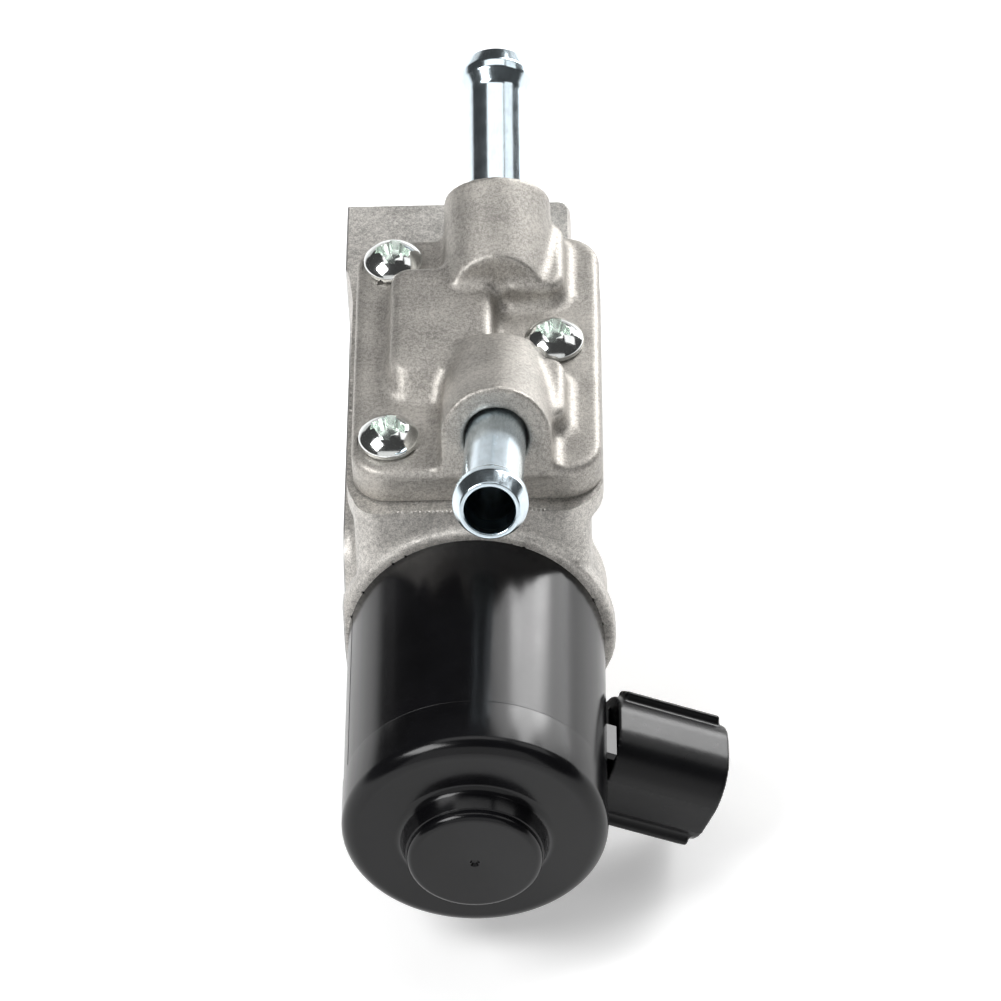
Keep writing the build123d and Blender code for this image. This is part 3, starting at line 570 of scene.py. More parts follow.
    def settle(self, points: np.ndarray) -> np.ndarray:
        """Move points that lie near an edge between two parts onto that edge.

        The move is the shortest d with slope . d = -distance for every part that is near.

        Args:
            points: points near the surface.

        Returns:
            The points, with those near an edge moved by a cell at most.
        """
        distance = np.stack([self.sample(part, points) for part in self.parts], 1)
        near = abs(distance) < 0.8 * self.step
        chosen = np.flatnonzero(near.sum(1) > 1)
        slopes = np.stack([self.slope(part, points[chosen]) for part in self.parts], 1)
        slopes *= near[chosen][:, :, None]
        aims = -(distance * near)[chosen][:, :, None]
        move = (np.linalg.pinv(slopes, rcond=0.25) @ aims)[:, :, 0]
        length = np.linalg.norm(move, axis=1, keepdims=True)
        points = points.copy()
        points[chosen] += move * np.minimum(1, self.step / np.maximum(length, 1e-9))
        return points

    def normals(self, points: np.ndarray, faces: list[np.ndarray]) -> np.ndarray:
        """Unit normals at the corners of faces: the slope there of the part that makes the face.

        Args:
            points: the surface's points.
            faces: arrays of corner numbers, one array for each number of sides.

        Returns:
            One normal for each corner of each face, so that edges between parts stay crisp.
        """
        parts = self.parts or [self.values]
        centres = np.concatenate([points[block].mean(axis=1) for block in faces])
        maker = np.stack([self.sample(part, centres) for part in parts], 1).argmax(axis=1)
        sides = np.concatenate([np.full(len(block), block.shape[1]) for block in faces])
        maker = np.repeat(maker, sides)
        corners = points[np.concatenate([block.ravel() for block in faces])]
        total = np.zeros_like(corners)
        for number in np.unique(maker):
            own = maker == number
            total[own] = self.slope(parts[number], corners[own])
        return total / np.maximum(np.linalg.norm(total, axis=1, keepdims=True), 1e-6)

    def make(self, name: str, adaptivity: float = 0.02) -> bpy.types.Object:
        """Mesh the surface, with normals from the slope of the distances.

        Args:
            name: the piece's name.
            adaptivity: how far flat areas are thinned, from 0 to 1.

        Returns:
            The piece.
        """
        points, triangles, quads = self.grid().convertToPolygons(isovalue=0.0, adaptivity=adaptivity)
        slope = self.slope(self.values, points)
        length = np.maximum(np.linalg.norm(slope, axis=1, keepdims=True), 0.5)
        points = points - slope * self.sample(self.values, points)[:, None] / length ** 2
        if self.parts:
            points = self.settle(points)
        faces = [triangles.astype(np.int64), quads.astype(np.int64)]
        return new_object(name, points, faces, self.normals(points, faces))


def dress(
    obj: bpy.types.Object, material: bpy.types.Material, slot: Slot, *nodes: str, body: Body = Body.HOUSING
) -> bpy.types.Object:
    """Give a new piece its material and its place in the model.

    Args:
        obj: the piece.
        material: its finish.
        slot: the slot for that finish; not used.
        *nodes: CAD nodes that it stands for.
        body: the body that it rides on.

    Returns:
        The piece.
    """
    obj.data.materials.clear()
    obj.data.materials.append(material)
    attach(obj, body.value)
    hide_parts(*nodes)
    LOG.info("%s: %d faces", obj.name, len(obj.data.polygons))
    return obj


def refined(node: str, name: str, bevel: float, sharp: float = 32.0) -> bpy.types.Object:
    """Copy a CAD node, merge it, shade it smooth and break its edges.

    Args:
        node: the CAD node.
        name: the new piece's name.
        bevel: width of the broken edges in millimetres, or 0.
        sharp: angle in degrees above which an edge counts as an edge.

    Returns:
        The new piece.
    """
    obj = bpy.data.objects.new(name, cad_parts[node].data.copy())
    bpy.context.scene.collection.objects.link(obj)
    mesh = obj.data
    if mesh.has_custom_normals:
        mesh.attributes.remove(mesh.attributes["custom_normal"])
    weld(obj, 0.001)
    mesh.shade_smooth()
    mesh.set_sharp_from_angle(angle=radians(sharp))
    if bevel:
        edge = obj.modifiers.new("broken edges", "BEVEL")
        edge.width = bevel * MM
        edge.segments = 2
        edge.limit_method = "ANGLE"
        edge.angle_limit = radians(sharp)
        edge.harden_normals = True
    return obj


@dataclass(frozen=True)
class CastFinish:
    """Shot-blasted aluminium casting: fine dents, cloudy tone, and smoother machined faces."""

    name: str
    tone: Triple
    grain: float
    relief: float
    roughness: float
    cloud: float = 7.0
    darkest: float = 0.57
    lightest: float = 1.36
    metallic: float = 0.75
    cut_tones: tuple[Triple, Triple] = ((0.46, 0.455, 0.45), (0.52, 0.515, 0.51))
    cut_roughness: float = 0.36
    cut_relief: float = 0.05

    def material(self, machined: "Flat | None" = None) -> bpy.types.Material:
        """Make the material, with a smoother face where the casting was machined."""
        tree = Tree(self.name)
        fine = tree.noise(self.grain, 3.0)
        coarse = tree.noise(self.grain * 3.2, 2.0, seed=0.31)
        cloud = tree.noise(self.cloud, 3.0, seed=0.57)
        blasted = fine * 0.65 + coarse * 0.35
        dark = tuple(c * self.darkest for c in self.tone)
        light = tuple(c * self.lightest for c in self.tone)
        shade = (blasted * 0.8 + cloud * 0.2).step(0.35, 0.65)
        colour = tree.mix(shade, dark, light)
        rough = (cloud - 0.5) * 0.18 + (fine - 0.5) * 0.25 + self.roughness
        height = blasted
        if machined is not None:
            cut = machined.mask(tree)
            line = machined.lines(tree)
            colour = tree.mix(cut, colour, tree.mix(line, *self.cut_tones))
            rough = rough * (1 - cut) + cut * self.cut_roughness
            height = blasted * (1 - cut) + line * cut * self.cut_relief
        return tree.finish(
            Base_Color=colour,
            Metallic=self.metallic,
            Roughness=rough,
            Normal=tree.bump(height, self.relief),
        )


@dataclass(frozen=True)
class Flat:
    """Machined face, and the centre that its cutter went round."""

    normal: Triple
    level: float
    centre: Triple
    depth: float = 0.15
    mark_rate: float = 14.0

    def mask(self, tree: Tree) -> Socket:
        """1 on the face and 0 elsewhere."""
        return tree.along(self.normal).step(self.level - 2 * self.depth, self.level - self.depth)

    def lines(self, tree: Tree) -> Socket:
        """Fine cutter marks as arcs about the centre."""
        return (tree.radius(self.centre, self.normal) * self.mark_rate).sine() * 0.5 + 0.5


@dataclass(frozen=True)
class PlatedFinish:
    """Bright metal with faint drawing marks along one direction."""

    name: str
    tone: Triple
    roughness: float
    stretch: Triple = (1, 1, 1)
    marks: float = 0.25
    relief: float = 0.004
    recess: Triple | None = None

    def material(self) -> bpy.types.Material:
        """Make the material."""
        tree = Tree(self.name)
        drawn = tree.noise(self.marks, 3.0, self.stretch)
        cloud = tree.noise(2.4, 3.0, seed=0.2)
        dull = tuple(c * 0.8 for c in self.tone)
        colour = tree.mix((cloud * 0.6 + drawn * 0.4).step(0.3, 0.7), dull, self.tone)
        if self.recess is not None:
            sunk = tree.add("ShaderNodeAttribute", {"attribute_name": "recess"}, output="Fac")
            colour = tree.mix(sunk, colour, self.recess)
        rough = self.roughness * 0.7 + cloud * self.roughness * 0.5 + (drawn - 0.5) * 0.08
        if self.recess is not None:
            rough = rough + sunk * 0.12
        return tree.finish(
            Base_Color=colour,
            Metallic=1.0,
            Roughness=rough,
            Normal=tree.bump(drawn, self.relief),
        )


@dataclass(frozen=True)
class BlackFinish:
    """Black coat or moulding with a slight orange-peel skin."""

    name: str
    tone: Triple
    roughness: float
    peel: float
    relief: float
    stretch: Triple = (1, 1, 1)
    specular: float = 0.29

    def material(self) -> bpy.types.Material:
        """Make the material."""
        tree = Tree(self.name)
        skin = tree.noise(self.peel, 2.0, self.stretch)
        dust = tree.noise(0.5, 4.0, seed=0.4)
        cloud = tree.noise(9.0, 3.0, seed=0.7)
        light = tuple(c * 1.8 for c in self.tone)
        rough = self.roughness + (dust - 0.5) * 0.08 + (cloud - 0.5) * 0.08 + (skin - 0.5) * 0.06
        return tree.finish(
            Base_Color=tree.mix(cloud.step(0.3, 0.75), self.tone, light),
            Roughness=rough,
            Specular_IOR_Level=self.specular,
            Normal=tree.bump(skin, self.relief),
        )


@dataclass(frozen=True)
class PlainFinish:
    """Finish of an inner piece: slight mottling and a fine grain."""

    name: str
    tone: Triple
    roughness: float
    metallic: float
    grain: float = 0.3
    relief: float = 0.006
    stretch: Triple = (1, 1, 1)

    def material(self) -> bpy.types.Material:
        """Make the material."""
        tree = Tree(self.name)
        grain = tree.noise(self.grain, 3.0, self.stretch)
        cloud = tree.noise(4.0, 3.0, seed=0.3)
        dark = tuple(c * 0.75 for c in self.tone)
        return tree.finish(
            Base_Color=tree.mix((grain * 0.5 + cloud * 0.5).step(0.3, 0.7), dark, self.tone),
            Metallic=self.metallic,
            Roughness=self.roughness + (grain - 0.5) * 0.2,
            Normal=tree.bump(grain, self.relief),
        )


@dataclass
class CastBody:
    """Valve body: its cast skin with soft corners, and the bores and faces that are cut into it."""

    step: float = 0.34
    inner_round: float = 1.8
    edge_round: float = 0.55
    socket_radius: float = 19.88
    socket_step: float = -34.5
    case_bore: float = 18.4
    socket_floor: float = -29.0
    bore_radius: float = 13.0
    bore_end: float = 31.4
    block_low: float = 10.5
    port_radius: float = 6.5
    port_spacing: float = 26.0
    groove_outer: float = 10.2
    groove_inner: float = 8.0
    groove_depth: float = 1.8
    bolt_radius: float = 3.3
    bolts: tuple[tuple[float, float], ...] = ((30.0, 17.5), (-20.0, -19.5))
    front_y: float = -39.3
    front_draft: float = 0.157
    lip_y: float = -39.07
    lip_draft: float = 0.1286
    lip_reach: float = 21.6

    def before(self, skin: Field, start: float, draft: float) -> np.ndarray:
        """Distance in front of a wall that leans back both ways from the middle: y = start + draft * |z|."""
        _, y, z = skin.axes()
        return (start + draft * abs(z) - y) / np.hypot(1.0, draft)

    def fillings(self, skin: Field) -> list[np.ndarray]:
        """Rods that fill the bores while the skin's edges are rounded."""
        centre = (AXIS_X, 0, 0)
        rods = [
            np.maximum(
                skin.rod(centre, 1, self.socket_radius, -60, self.socket_floor + 1),
                self.before(skin, self.front_y, self.front_draft),
            ),
            skin.rod(centre, 1, self.bore_radius + 1, self.socket_floor, 30.9),
        ]
        for y in (-self.port_spacing / 2, self.port_spacing / 2):
            rods.append(skin.rod((0, y, 0), 0, self.groove_outer, 0.3, AXIS_X))
        for y, z in self.bolts:
            rods.append(skin.rod((0, y, z), 0, self.bolt_radius + 0.5, 0.3, 28.0))
        return rods

    def tools(self, skin: Field) -> list[np.ndarray]:
        """Drills and cutters that make the machined bores and the mounting face.

        The main bore ends at the barrel's rear. Behind it only what hangs below the rear block is cleared.
        """
        centre = (AXIS_X, 0, 0)
        cuts = [
            skin.rod(centre, 1, self.socket_radius, -60, self.socket_step),
            skin.rod(centre, 1, self.case_bore, self.socket_step - 1, self.socket_floor),
            skin.rod(centre, 1, self.bore_radius, self.socket_floor - 1, self.bore_end),
            np.maximum(
                skin.rod(centre, 1, self.bore_radius, self.bore_end - 1, 60),
                skin.axes()[2] - self.block_low,
            ),
            skin.axes()[0] + 0 * skin.values,
            node_box("valve_body")[1][2] - skin.axes()[2] + 0 * skin.values,
        ]
        for y in (-self.port_spacing / 2, self.port_spacing / 2):
            cuts.append(skin.rod((0, y, 0), 0, self.port_radius, -5, AXIS_X))
            outer = skin.rod((0, y, 0), 0, self.groove_outer, -5, self.groove_depth)
            inner = skin.rod((0, y, 0), 0, self.groove_inner, -5, self.groove_depth)
            cuts.append(np.maximum(outer, -inner))
        for y, z in self.bolts:
            cuts.append(skin.rod((0, y, z), 0, self.bolt_radius, -5, 80))
        return cuts

    def build(self, finish: CastFinish) -> None:
        """Make the casting."""
        raw = Field.of_node("valve_body", self.step, 2.8)
        deck = node_box("valve_body")[1][2]
        skin = raw.joined(*self.fillings(raw)).extended(0, 0.4).extended(2, deck - 0.4, True)
        lip = skin.rod((AXIS_X, 0, 0), 1, self.lip_reach, -60, self.socket_step)
        lip = np.maximum(lip, self.before(skin, self.lip_y, self.lip_draft))
        skin = skin.filleted(self.inner_round).joined(lip).blunted(self.edge_round)
        x, y, z = raw.axes()
        chamber = (x > 7.4) & (x < 35.4) & (y > -27.6) & (y < 15.6) & (z > 15.4)
        skin = Field(skin.step, skin.start, np.where(chamber, raw.values, skin.values), skin.band)
        body = skin.cut(*self.tools(skin)).make("cast_valve_body")
        mounting_face = Flat((-1, 0, 0), 0.0, (0.0, 60.0, -80.0))
        dress(body, finish.material(mounting_face), Slot.CAST_BODY, "valve_body")


@dataclass
class CoolantCover:
    """Cast cover with soft inner corners, and flat seats for the screw heads."""

    step: float = 0.27
    inner_round: float = 1.7
    edge_round: float = 0.45
    top: float = 30.6
    seat_radius: float = 5.1
    screws: tuple[tuple[float, float], ...] = ((8.05, -25.3), (8.05, 14.6), (33.35, -4.4))

    def build(self, finish: CastFinish) -> None:
        """Make the cover."""
        skin = Field.of_node("coolant_cover", self.step, 2.8).extended(2, 25.6)
        bottom = node_box("coolant_cover")[0][2]
        skin = skin.filleted(self.inner_round).blunted(self.edge_round)
        seats = [skin.rod((x, y, 0), 2, self.seat_radius, self.top, 60) for x, y in self.screws]
        below = (skin.axes()[2] - bottom) + 0 * skin.values
        cover = skin.cut(below, *seats).make("cast_coolant_cover")
        dress(cover, finish.material(), Slot.CAST_COVER, "coolant_cover")


@dataclass
class CoverScrews:
    """Three pan-head screws with a cross recess and a cut thread."""

    step: float = 0.11
    head_radius: float = 4.65
    head_height: float = 3.45
    crown: float = 2.4
    recess_depth: float = 2.2
    wing: float = 1.75
    span: float = 6.0
    heart: float = 2.25
    turn: float = -10.0
    rounds: tuple[int, int] = (48, 200)
    thread_radius: float = 2.48
    thread_depth: float = 0.42
    pitch: float = 0.8
    length: float = 16.1

    def head(self) -> Field:
        """Head about the origin: a cylinder under a spherical crown, less the cross recess."""
        ball = (self.head_radius ** 2 + self.crown ** 2) / (2 * self.crown)
        reach = int(np.ceil((self.head_radius + 1) / self.step))
        start = np.array([-reach, -reach, int(-1 / self.step)])
        shape = (2 * reach + 1, 2 * reach + 1, int((self.head_height + 2) / self.step))
        blank = Field(self.step, start, np.zeros(shape, np.float32), 0.9)
        x, y, z = blank.axes()
        sphere = np.sqrt(x ** 2 + y ** 2 + (z - self.head_height + ball) ** 2) - ball
        drum = blank.rod((0, 0, 0), 2, self.head_radius, 0.0, 60)
        solid = Field(self.step, start, np.maximum(sphere, drum).astype(np.float32), 0.9).blunted(0.4)
        depth = self.head_height - z
        side = [
            np.maximum(abs(a) - (self.wing / 2 - 0.16 * depth), abs(b) - (self.span / 2 - 0.45 * depth))
            for a, b in ((x, y), (y, x))
        ]
        core = np.sqrt(x ** 2 + y ** 2) - (self.heart - 0.45 * depth)
        cross = np.maximum(np.minimum.reduce([side[0], side[1], core + 0 * z]), depth - self.recess_depth)
        return solid.cut(cross.astype(np.float32))

    def thread(self) -> tuple[np.ndarray, np.ndarray]:
        """Thread surface: radius = crest - depth * triangle wave of (height / pitch - turn)."""
        around, down = self.rounds
        turn = np.linspace(0, 1, around, endpoint=False)[:, None]
        height = np.linspace(0.2, -self.length, down)[None, :]
        wave = abs(((height / self.pitch - turn) % 1.0) * 2 - 1)
        taper = np.clip((height + self.length) / 1.2, 0, 1)
        radius = (self.thread_radius - self.thread_depth * wave) * (0.72 + 0.28 * taper)
        radius[:, [0, -1]] = 0.001
        angle = 2 * np.pi * turn
        points = np.stack([radius * np.cos(angle), radius * np.sin(angle), height + 0 * turn], -1)
        return points.reshape(-1, 3), grid_faces(around, down, True, False)

    def build(self, seats: CoolantCover, finish: PlatedFinish) -> None:
        """Make the three heads as one piece and their threads as another.

        Args:
            seats: the cover, which says where the screws are.
            finish: their plating, which tints the recess by the attribute of that name.
        """
        head = self.head()
        points, quads = head.surface(0.0)
        points = head.settle(points)
        normals = head.normals(points, [quads.astype(np.int64)])
        sunk = (abs(head.sample(head.parts[1], points)) < 0.6 * self.step).astype(np.float32)
        stem, stem_faces = self.thread()
        c, s = cos(radians(self.turn)), sin(radians(self.turn))
        rotate = np.array([[c, -s, 0], [s, c, 0], [0, 0, 1]])
        places = [(x, y, seats.top) for x, y in seats.screws]
        count = len(places)
        material = finish.material()
        faces = [quads.astype(np.int64) + k * len(points) for k in range(count)]
        corners = np.concatenate([points @ rotate.T + place for place in places])
        heads = new_object("cross_recess_screws", corners, faces, np.tile(normals @ rotate.T, (count, 1)))
        attribute = heads.data.attributes.new("recess", "FLOAT", "POINT")
        attribute.data.foreach_set("value", np.tile(sunk, count))
        dress(heads, material, Slot.ZINC, "cover_screws")
        faces = [stem_faces + k * len(stem) for k in range(count)]
        corners = np.concatenate([stem @ rotate.T + place for place in places])
        threads = new_object("screw_threads", corners, faces)
        weld(threads, 0.004)
        dress(threads, material, Slot.ZINC, "cover_screws")


class End(Enum):
    """Which way a hose pipe points along Y."""

    FRONT = -1
    REAR = 1


@dataclass
class HosePipe:
    """Steel pipe with a rolled bead, pressed into its boss."""

    end: End
    face_y: float
    yaw: float
    centre_x: float = 24.6
    centre_z: float = 35.9
    tilt: float = 19.5
    radius: float = 4.6
    wall: float = 0.75
    insert: float = 10.0
    reach: float = 25.5
    bead: float = 5.65

    def direction(self) -> np.ndarray:
        """Unit vector from the boss to the mouth."""
        yaw, tilt = radians(self.yaw), radians(self.tilt)
        return np.array([-sin(yaw), self.end.value * cos(tilt) * cos(yaw), sin(tilt) * cos(yaw)])

    def outline(self) -> np.ndarray:
        """Section through the wall as a loop, from the middle of the outside."""
        bore, reach = self.radius - self.wall, self.reach
        corners = [
            (self.radius, 5.0, 0),
            (self.radius, reach - 6.1, 2.2),
            (self.bead, reach - 3.9, 1.3),
            (self.bead, reach - 2.5, 1.3),
            (self.radius - 0.05, reach, 0.35),
            (bore - 0.05, reach, 0.3),
            (bore, reach - 1.2, 0.8),
            (self.bead - 1.25, reach - 2.9, 0.7),
            (bore, reach - 5.0, 0.8),
            (bore, -self.insert, 0.2),
            (self.radius, -self.insert, 0.2),
            (self.radius, 5.0, 0),
        ]
        return rounded(corners)[:-1]

    def build(self, name: str, node: str, finish: PlatedFinish) -> None:
        """Turn the pipe about its own axis."""
        origin = (self.centre_x, self.face_y, self.centre_z)
        pipe = Lathe(origin, tuple(self.direction()), 160).make(name, self.outline(), True)
        pipe.data.set_sharp_from_angle(angle=radians(50))
        dress(pipe, finish.material(), Slot.ZINC, node)


@dataclass
class Solenoid:
    """Painted case and end cap."""

    seam_y: float = -70.0
    cap_radius: float = 20.0
    cap_depth: float = 9.4
    wall: float = 1.7
    bore: float = 18.4
    button_radius: float = 10.1
    button_rise: float = 5.0
    foot_radius: float = 11.1
    dimple: float = 0.8

    def cap_outline(self) -> np.ndarray:
        """Half section of the cap, from the middle of the button round to its inside."""
        face = -self.cap_depth
        button = face - self.button_rise
        corners = [
            (0.0, button + 0.45, 0),
            (0.4, button + 0.45, 0.15),
            (self.dimple, button, 0.12),
            (self.button_radius, button, 1.1),
            (self.button_radius + 0.05, button + 1.65, 0.05),
            (self.button_radius + 0.25, button + 1.75, 0.08),
            (self.foot_radius, face, 1.35),
            (self.cap_radius, face, 2.5),
            (self.cap_radius, 0.0, 0.15),
            (self.bore, 0.0, 0),
            (self.bore, face + self.wall, 0.5),
            (self.button_radius - self.wall, face + self.wall, 0.3),
            (self.button_radius - self.wall, button + self.wall, 0.5),
            (0.0, button + self.wall, 0),
        ]
        return rounded(corners, 12)

    def build(self, finish: BlackFinish) -> None:
        """Make the cap and the case."""
        paint = finish.material()
        lathe = Lathe((AXIS_X, self.seam_y, 0), (0, 1, 0), 256)
        cap = lathe.make("painted_end_cap", self.cap_outline(), False)
        cap.data.set_sharp_from_angle(angle=radians(60))
        dress(cap, paint, Slot.PAINT, "end_cap")
        dress(refined("solenoid_case", "painted_case", 0.12), paint, Slot.PAINT, "solenoid_case")


@dataclass
class Connector:
    """Moulded connector housing with soft edges, and its two blades."""

    step: float = 0.18
    inner_round: float = 0.45
    edge_round: float = 0.35

    def build(self, shell_finish: BlackFinish, blade_finish: PlainFinish) -> None:
        """Make the housing and the blades."""
        skin = Field.of_node("connector_shell", self.step, 1.2)
        shell = skin.filleted(self.inner_round).blunted(self.edge_round).make("moulded_connector")
        dress(shell, shell_finish.material(), Slot.MOULDING, "connector_shell")
        blades = refined("connector_terminals", "connector_blades", 0.12)
        dress(blades, blade_finish.material(), Slot.TINNED, "connector_terminals")


@dataclass
class ReturnSpring:
    """Wire helix that the armature compresses."""

    radius: float = 4.3
    wire: float = 0.35
    turns: int = 5
    stroke: float = 4.0

    def build(self, finish: PlainFinish) -> None:
        """Carry a circle along a helix: centre = (radius cos a, y, radius sin a), with y rising evenly."""
        low, high = node_box("return_spring")
        start, end = low[1] + self.wire, high[1] - self.wire
        u = np.linspace(0, 1, self.turns * 36)[:, None]
        angle = 2 * np.pi * self.turns * u
        v = np.linspace(0, 2 * np.pi, 12, endpoint=False)[None, :]
        outward = np.stack([np.cos(angle), 0 * angle, np.sin(angle)], -1)
        middle = outward * self.radius + np.stack([0 * u + AXIS_X, start + (end - start) * u, 0 * u], -1)
        ring = np.cos(v)[..., None] * outward + np.sin(v)[..., None] * np.array([0, 1.0, 0])
        points = middle + self.wire * ring
        points[[0, -1]] = middle[[0, -1]]
        spring = new_object("coil_spring", points.reshape(-1, 3), [grid_faces(len(u), 12, False, True)])
        weld(spring)
        dress(spring, finish.material(), Slot.GROUND_STEEL, "return_spring")
        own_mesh(spring)


@dataclass
class Camera:
    """Camera at the photograph's place, from a fit to the valve's circles and edges."""

    target: Triple = (25.177, -40.0, 31.749)
    azimuth: float = 2.074
    elevation: float = 44.745
    roll: float = -2.718
    distance: float = 777.25
    focal_pixels: float = 5169.97
    sensor: float = 36.0

    def build(self) -> None:
        """Aim the camera and make it the scene's own."""
        a, e, r = radians(self.azimuth), radians(self.elevation), radians(self.roll)
        back = np.array([sin(a) * cos(e), -cos(a) * cos(e), sin(e)])
        right = np.array([cos(a), sin(a), 0.0])
        up = np.cross(back, right)
        turned_right = cos(r) * right + sin(r) * up
        turned_up = -sin(r) * right + cos(r) * up
        place = (np.array(self.target) + back * self.distance) * MM
        data = bpy.data.cameras.new("camera")
        data.sensor_width = self.sensor
        data.lens = self.focal_pixels * self.sensor / IMAGE_WIDTH
        data.clip_start = 0.01
        camera = bpy.data.objects.new("camera", data)
        matrix = np.eye(4)
        matrix[:3] = np.stack([turned_right, turned_up, back, place], 1)
        camera.matrix_world = Matrix(matrix.tolist())
        bpy.context.scene.collection.objects.link(camera)
        bpy.context.scene.camera = camera


@dataclass
class Softbox:
    """Rectangular light that looks at the valve."""

    name: str
    towards: Triple
    distance: float
    size: tuple[float, float]
    radiance: float

    def build(self, target: Triple) -> None:
        """Make the light, facing target."""
        data = bpy.data.lights.new(self.name, "AREA")
        data.shape = "RECTANGLE"
        data.size, data.size_y = (s * MM for s in self.size)
        data.energy = self.radiance * pi * data.size * data.size_y
        lamp = bpy.data.objects.new(self.name, data)
        back = unit(self.towards)
        place = np.array(target) + back * self.distance
        right = unit(np.cross((0, 0, 1) if abs(back[2]) < 0.99 else (0, 1, 0), back))
        matrix = np.eye(4)
        matrix[:3] = np.stack([right, np.cross(back, right), back, place * MM], 1)
        lamp.matrix_world = Matrix(matrix.tolist())
        lamp.visible_camera = False
        bpy.context.scene.collection.objects.link(lamp)


@dataclass
class Studio:
    """Pale floor, soft lights and a pale surround."""

    floor_half: float = 3000.0
    floor_tone: Triple = (0.93, 0.93, 0.93)
    floor_glow: float = 0.3
    surround: float = 0.06
    floor_gap: float = 0.02
    target: Triple = (AXIS_X, -30.0, 10.0)

    def build(self) -> None:
        """Make the floor, the surround and the lights."""
        low = float(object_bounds()[0][2]) / MM
        edge = np.linspace(-self.floor_half, self.floor_half, 9)
        x, y = np.meshgrid(edge, edge, indexing="ij")
        points = np.stack([x, y, np.full_like(x, low - self.floor_gap)], -1).reshape(-1, 3)
        floor = new_object("floor", points, [grid_faces(9, 9, False, False)[:, ::-1]])
        tree = Tree("pale_floor")
        glow = {"Emission_Color": (1.0, 1.0, 1.0), "Emission_Strength": self.floor_glow}
        floor.data.materials.append(tree.finish(Base_Color=self.floor_tone, Roughness=0.9, **glow))
        floor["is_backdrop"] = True
        world = bpy.data.worlds.new("surround")
        world.use_nodes = True
        background = world.node_tree.nodes["Background"]
        background.inputs["Color"].default_value = (1, 1, 1, 1)
        background.inputs["Strength"].default_value = self.surround
        bpy.context.scene.world = world
        bpy.context.scene.view_settings.view_transform = "Standard"
        for box in (
            Softbox("left_softbox", (-0.59, -0.27, 0.76), 800.0, (420.0, 360.0), 10.5),
            Softbox("overhead_softbox", (-0.03, 0.27, 0.95), 700.0, (690.0, 260.0), 1.6),
            Softbox("rear_right_wing", (0.36, 0.73, 0.58), 900.0, (230.0, 420.0), 5.0),
            Softbox("rear_right_softbox", (0.55, 0.71, 0.43), 900.0, (230.0, 420.0), 12.5),
            Softbox("right_wing", (0.70, 0.68, 0.20), 900.0, (230.0, 420.0), 4.0),
            Softbox("upper_right_softbox", (0.70, 0.22, 0.68), 800.0, (340.0, 420.0), 1.3),
            Softbox("front_fill", (0.0, -0.93, 0.37), 1100.0, (1600.0, 900.0), 0.8),
            Softbox("rear_fill", (0.0, 0.996, 0.08), 1600.0, (3200.0, 420.0), 0.7),
        ):
            box.build(self.target)


MOVING = ("plunger", "valve_shaft", "valve_poppet", "valve_clip")
INNER = {
    "cover_gasket": (Slot.SHEET, 0.0),
    "cap_seal": (Slot.RUBBER, 0.15),
    "case_seal": (Slot.RUBBER, 0.15),
    "pole_core": (Slot.SOFT_IRON, 0.15),
    "coil_bobbin": (Slot.NYLON, 0.15),
    "coil_winding": (Slot.COPPER, 0.3),
    "yoke_plate": (Slot.SOFT_IRON, 0.2),
    "bearing_holder": (Slot.TURNED, 0.15),
    "front_bush": (Slot.BRONZE, 0.1),
    "middle_bush": (Slot.BRONZE, 0.1),
    "rear_bush": (Slot.BRONZE, 0.1),
    "shaft_seal": (Slot.RUBBER, 0.1),
    "valve_seat": (Slot.TURNED, 0.15),
    "rear_plug": (Slot.TURNED, 0.2),
    "port_o_rings": (Slot.RUBBER, 0.0),
    "plunger": (Slot.SOFT_IRON, 0.1),
    "valve_shaft": (Slot.GROUND_STEEL, 0.1),
    "valve_poppet": (Slot.TURNED, 0.15),
    "valve_clip": (Slot.GROUND_STEEL, 0.08),
}


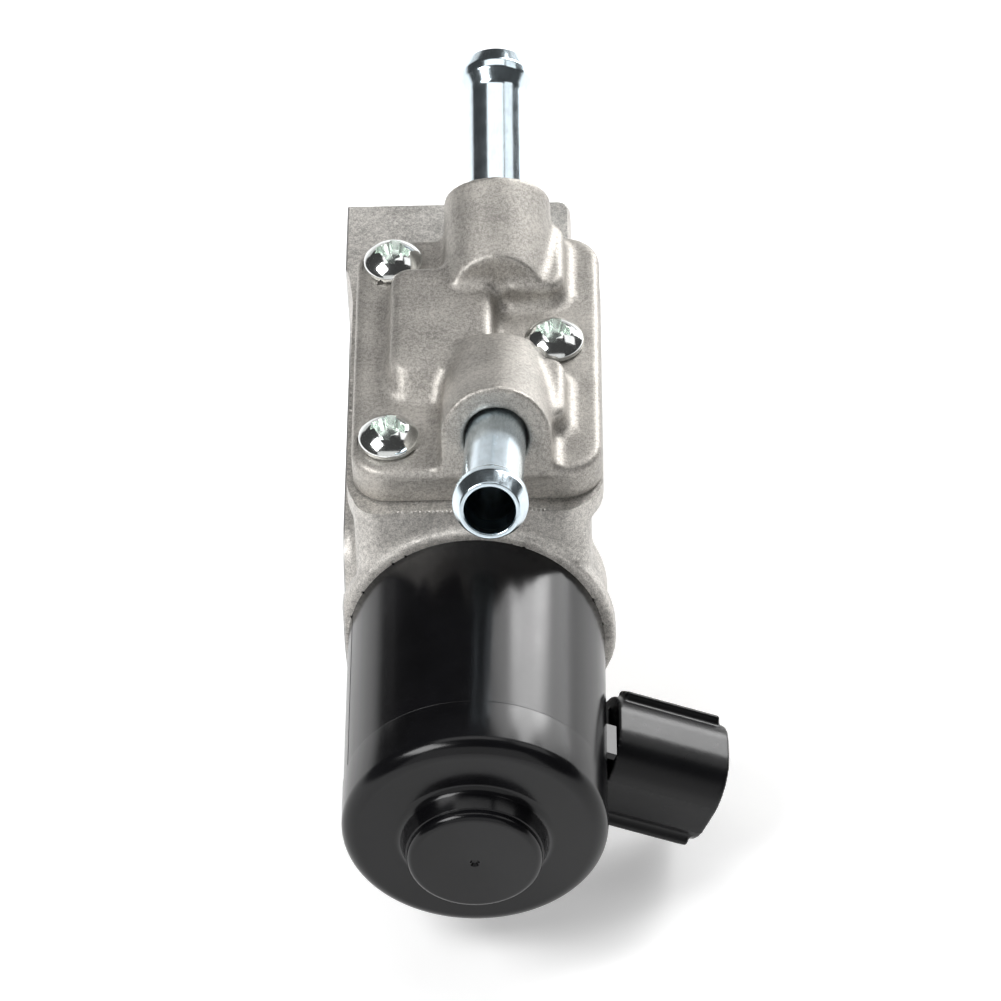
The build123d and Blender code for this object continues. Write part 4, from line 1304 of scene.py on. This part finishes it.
def main() -> None:
    """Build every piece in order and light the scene."""
    logging.basicConfig(level=logging.INFO, format="%(name)s: %(message)s")
    for name in STARTUP_OBJECTS:
        if name in bpy.data.objects:
            bpy.data.objects.remove(bpy.data.objects[name])
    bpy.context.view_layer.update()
    Camera().build()
    CastBody().build(CastFinish("cast_body_skin", (0.55, 0.53, 0.50), 0.2, 0.08, 0.5))
    cover = CoolantCover()
    cover.build(CastFinish("cast_cover_skin", (0.42, 0.40, 0.37), 0.17, 0.06, 0.48))
    bright = PlatedFinish("zinc_screws", (0.84, 0.86, 0.85), 0.12, relief=0.002, recess=(0.82, 0.88, 0.84))
    CoverScrews().build(cover, bright)
    along_pipe = (1.0, 0.06, 0.35)
    zinc = PlatedFinish("zinc_pipes", (0.72, 0.83, 0.90), 0.18, along_pipe)
    HosePipe(End.FRONT, -30.9, 1.2).build("front_beaded_pipe", "front_coolant_pipe", zinc)
    HosePipe(End.REAR, 23.1, 0.0).build("rear_beaded_pipe", "rear_coolant_pipe", zinc)
    black = (0.0025, 0.0025, 0.003)
    Solenoid().build(BlackFinish("black_gloss_paint", black, 0.19, 0.12, 0.0008, (0.08, 1.0, 0.08)))
    blades = PlainFinish("tinned_blades", (0.74, 0.72, 0.66), 0.3, 1.0)
    Connector().build(BlackFinish("black_connector_plastic", black, 0.3, 0.5, 0.003), blades)
    steel = PlainFinish("ground_wire_and_shaft", (0.62, 0.62, 0.63), 0.25, 1.0, 0.2, 0.002, (1, 6, 1))
    ReturnSpring().build(steel)
    finishes = {
        Slot.SHEET: PlainFinish("gasket_sheet_grey", (0.42, 0.41, 0.39), 0.6, 0.2, 0.4, 0.02),
        Slot.RUBBER: PlainFinish("seal_rubber_black", (0.02, 0.02, 0.02), 0.5, 0.0, 0.3, 0.008),
        Slot.SOFT_IRON: PlainFinish("oiled_soft_iron", (0.36, 0.35, 0.34), 0.4, 1.0, 0.2, 0.004, (1, 5, 1)),
        Slot.NYLON: PlainFinish("natural_nylon", (0.72, 0.68, 0.58), 0.5, 0.0, 0.5, 0.006),
        Slot.COPPER: PlainFinish("enamelled_copper", (0.55, 0.20, 0.08), 0.35, 1.0, 0.3, 0.03, (1, 8, 1)),
        Slot.TURNED: PlainFinish(
            "turned_aluminium_rings", (0.62, 0.62, 0.63), 0.32, 1.0, 0.2, 0.004, (1, 6, 1)
        ),
        Slot.BRONZE: PlainFinish("sintered_bronze", (0.50, 0.33, 0.15), 0.5, 1.0, 0.15, 0.01),
        Slot.GROUND_STEEL: steel,
    }
    materials = {slot: finish.material() for slot, finish in finishes.items()}
    for node, (slot, bevel) in INNER.items():
        body = Body.ARMATURE if node in MOVING else Body.HOUSING
        dress(refined(node, f"{node}_finished", bevel), materials[slot], slot, node, body=body)
    Studio().build()


if __name__ == "__main__":
    main()
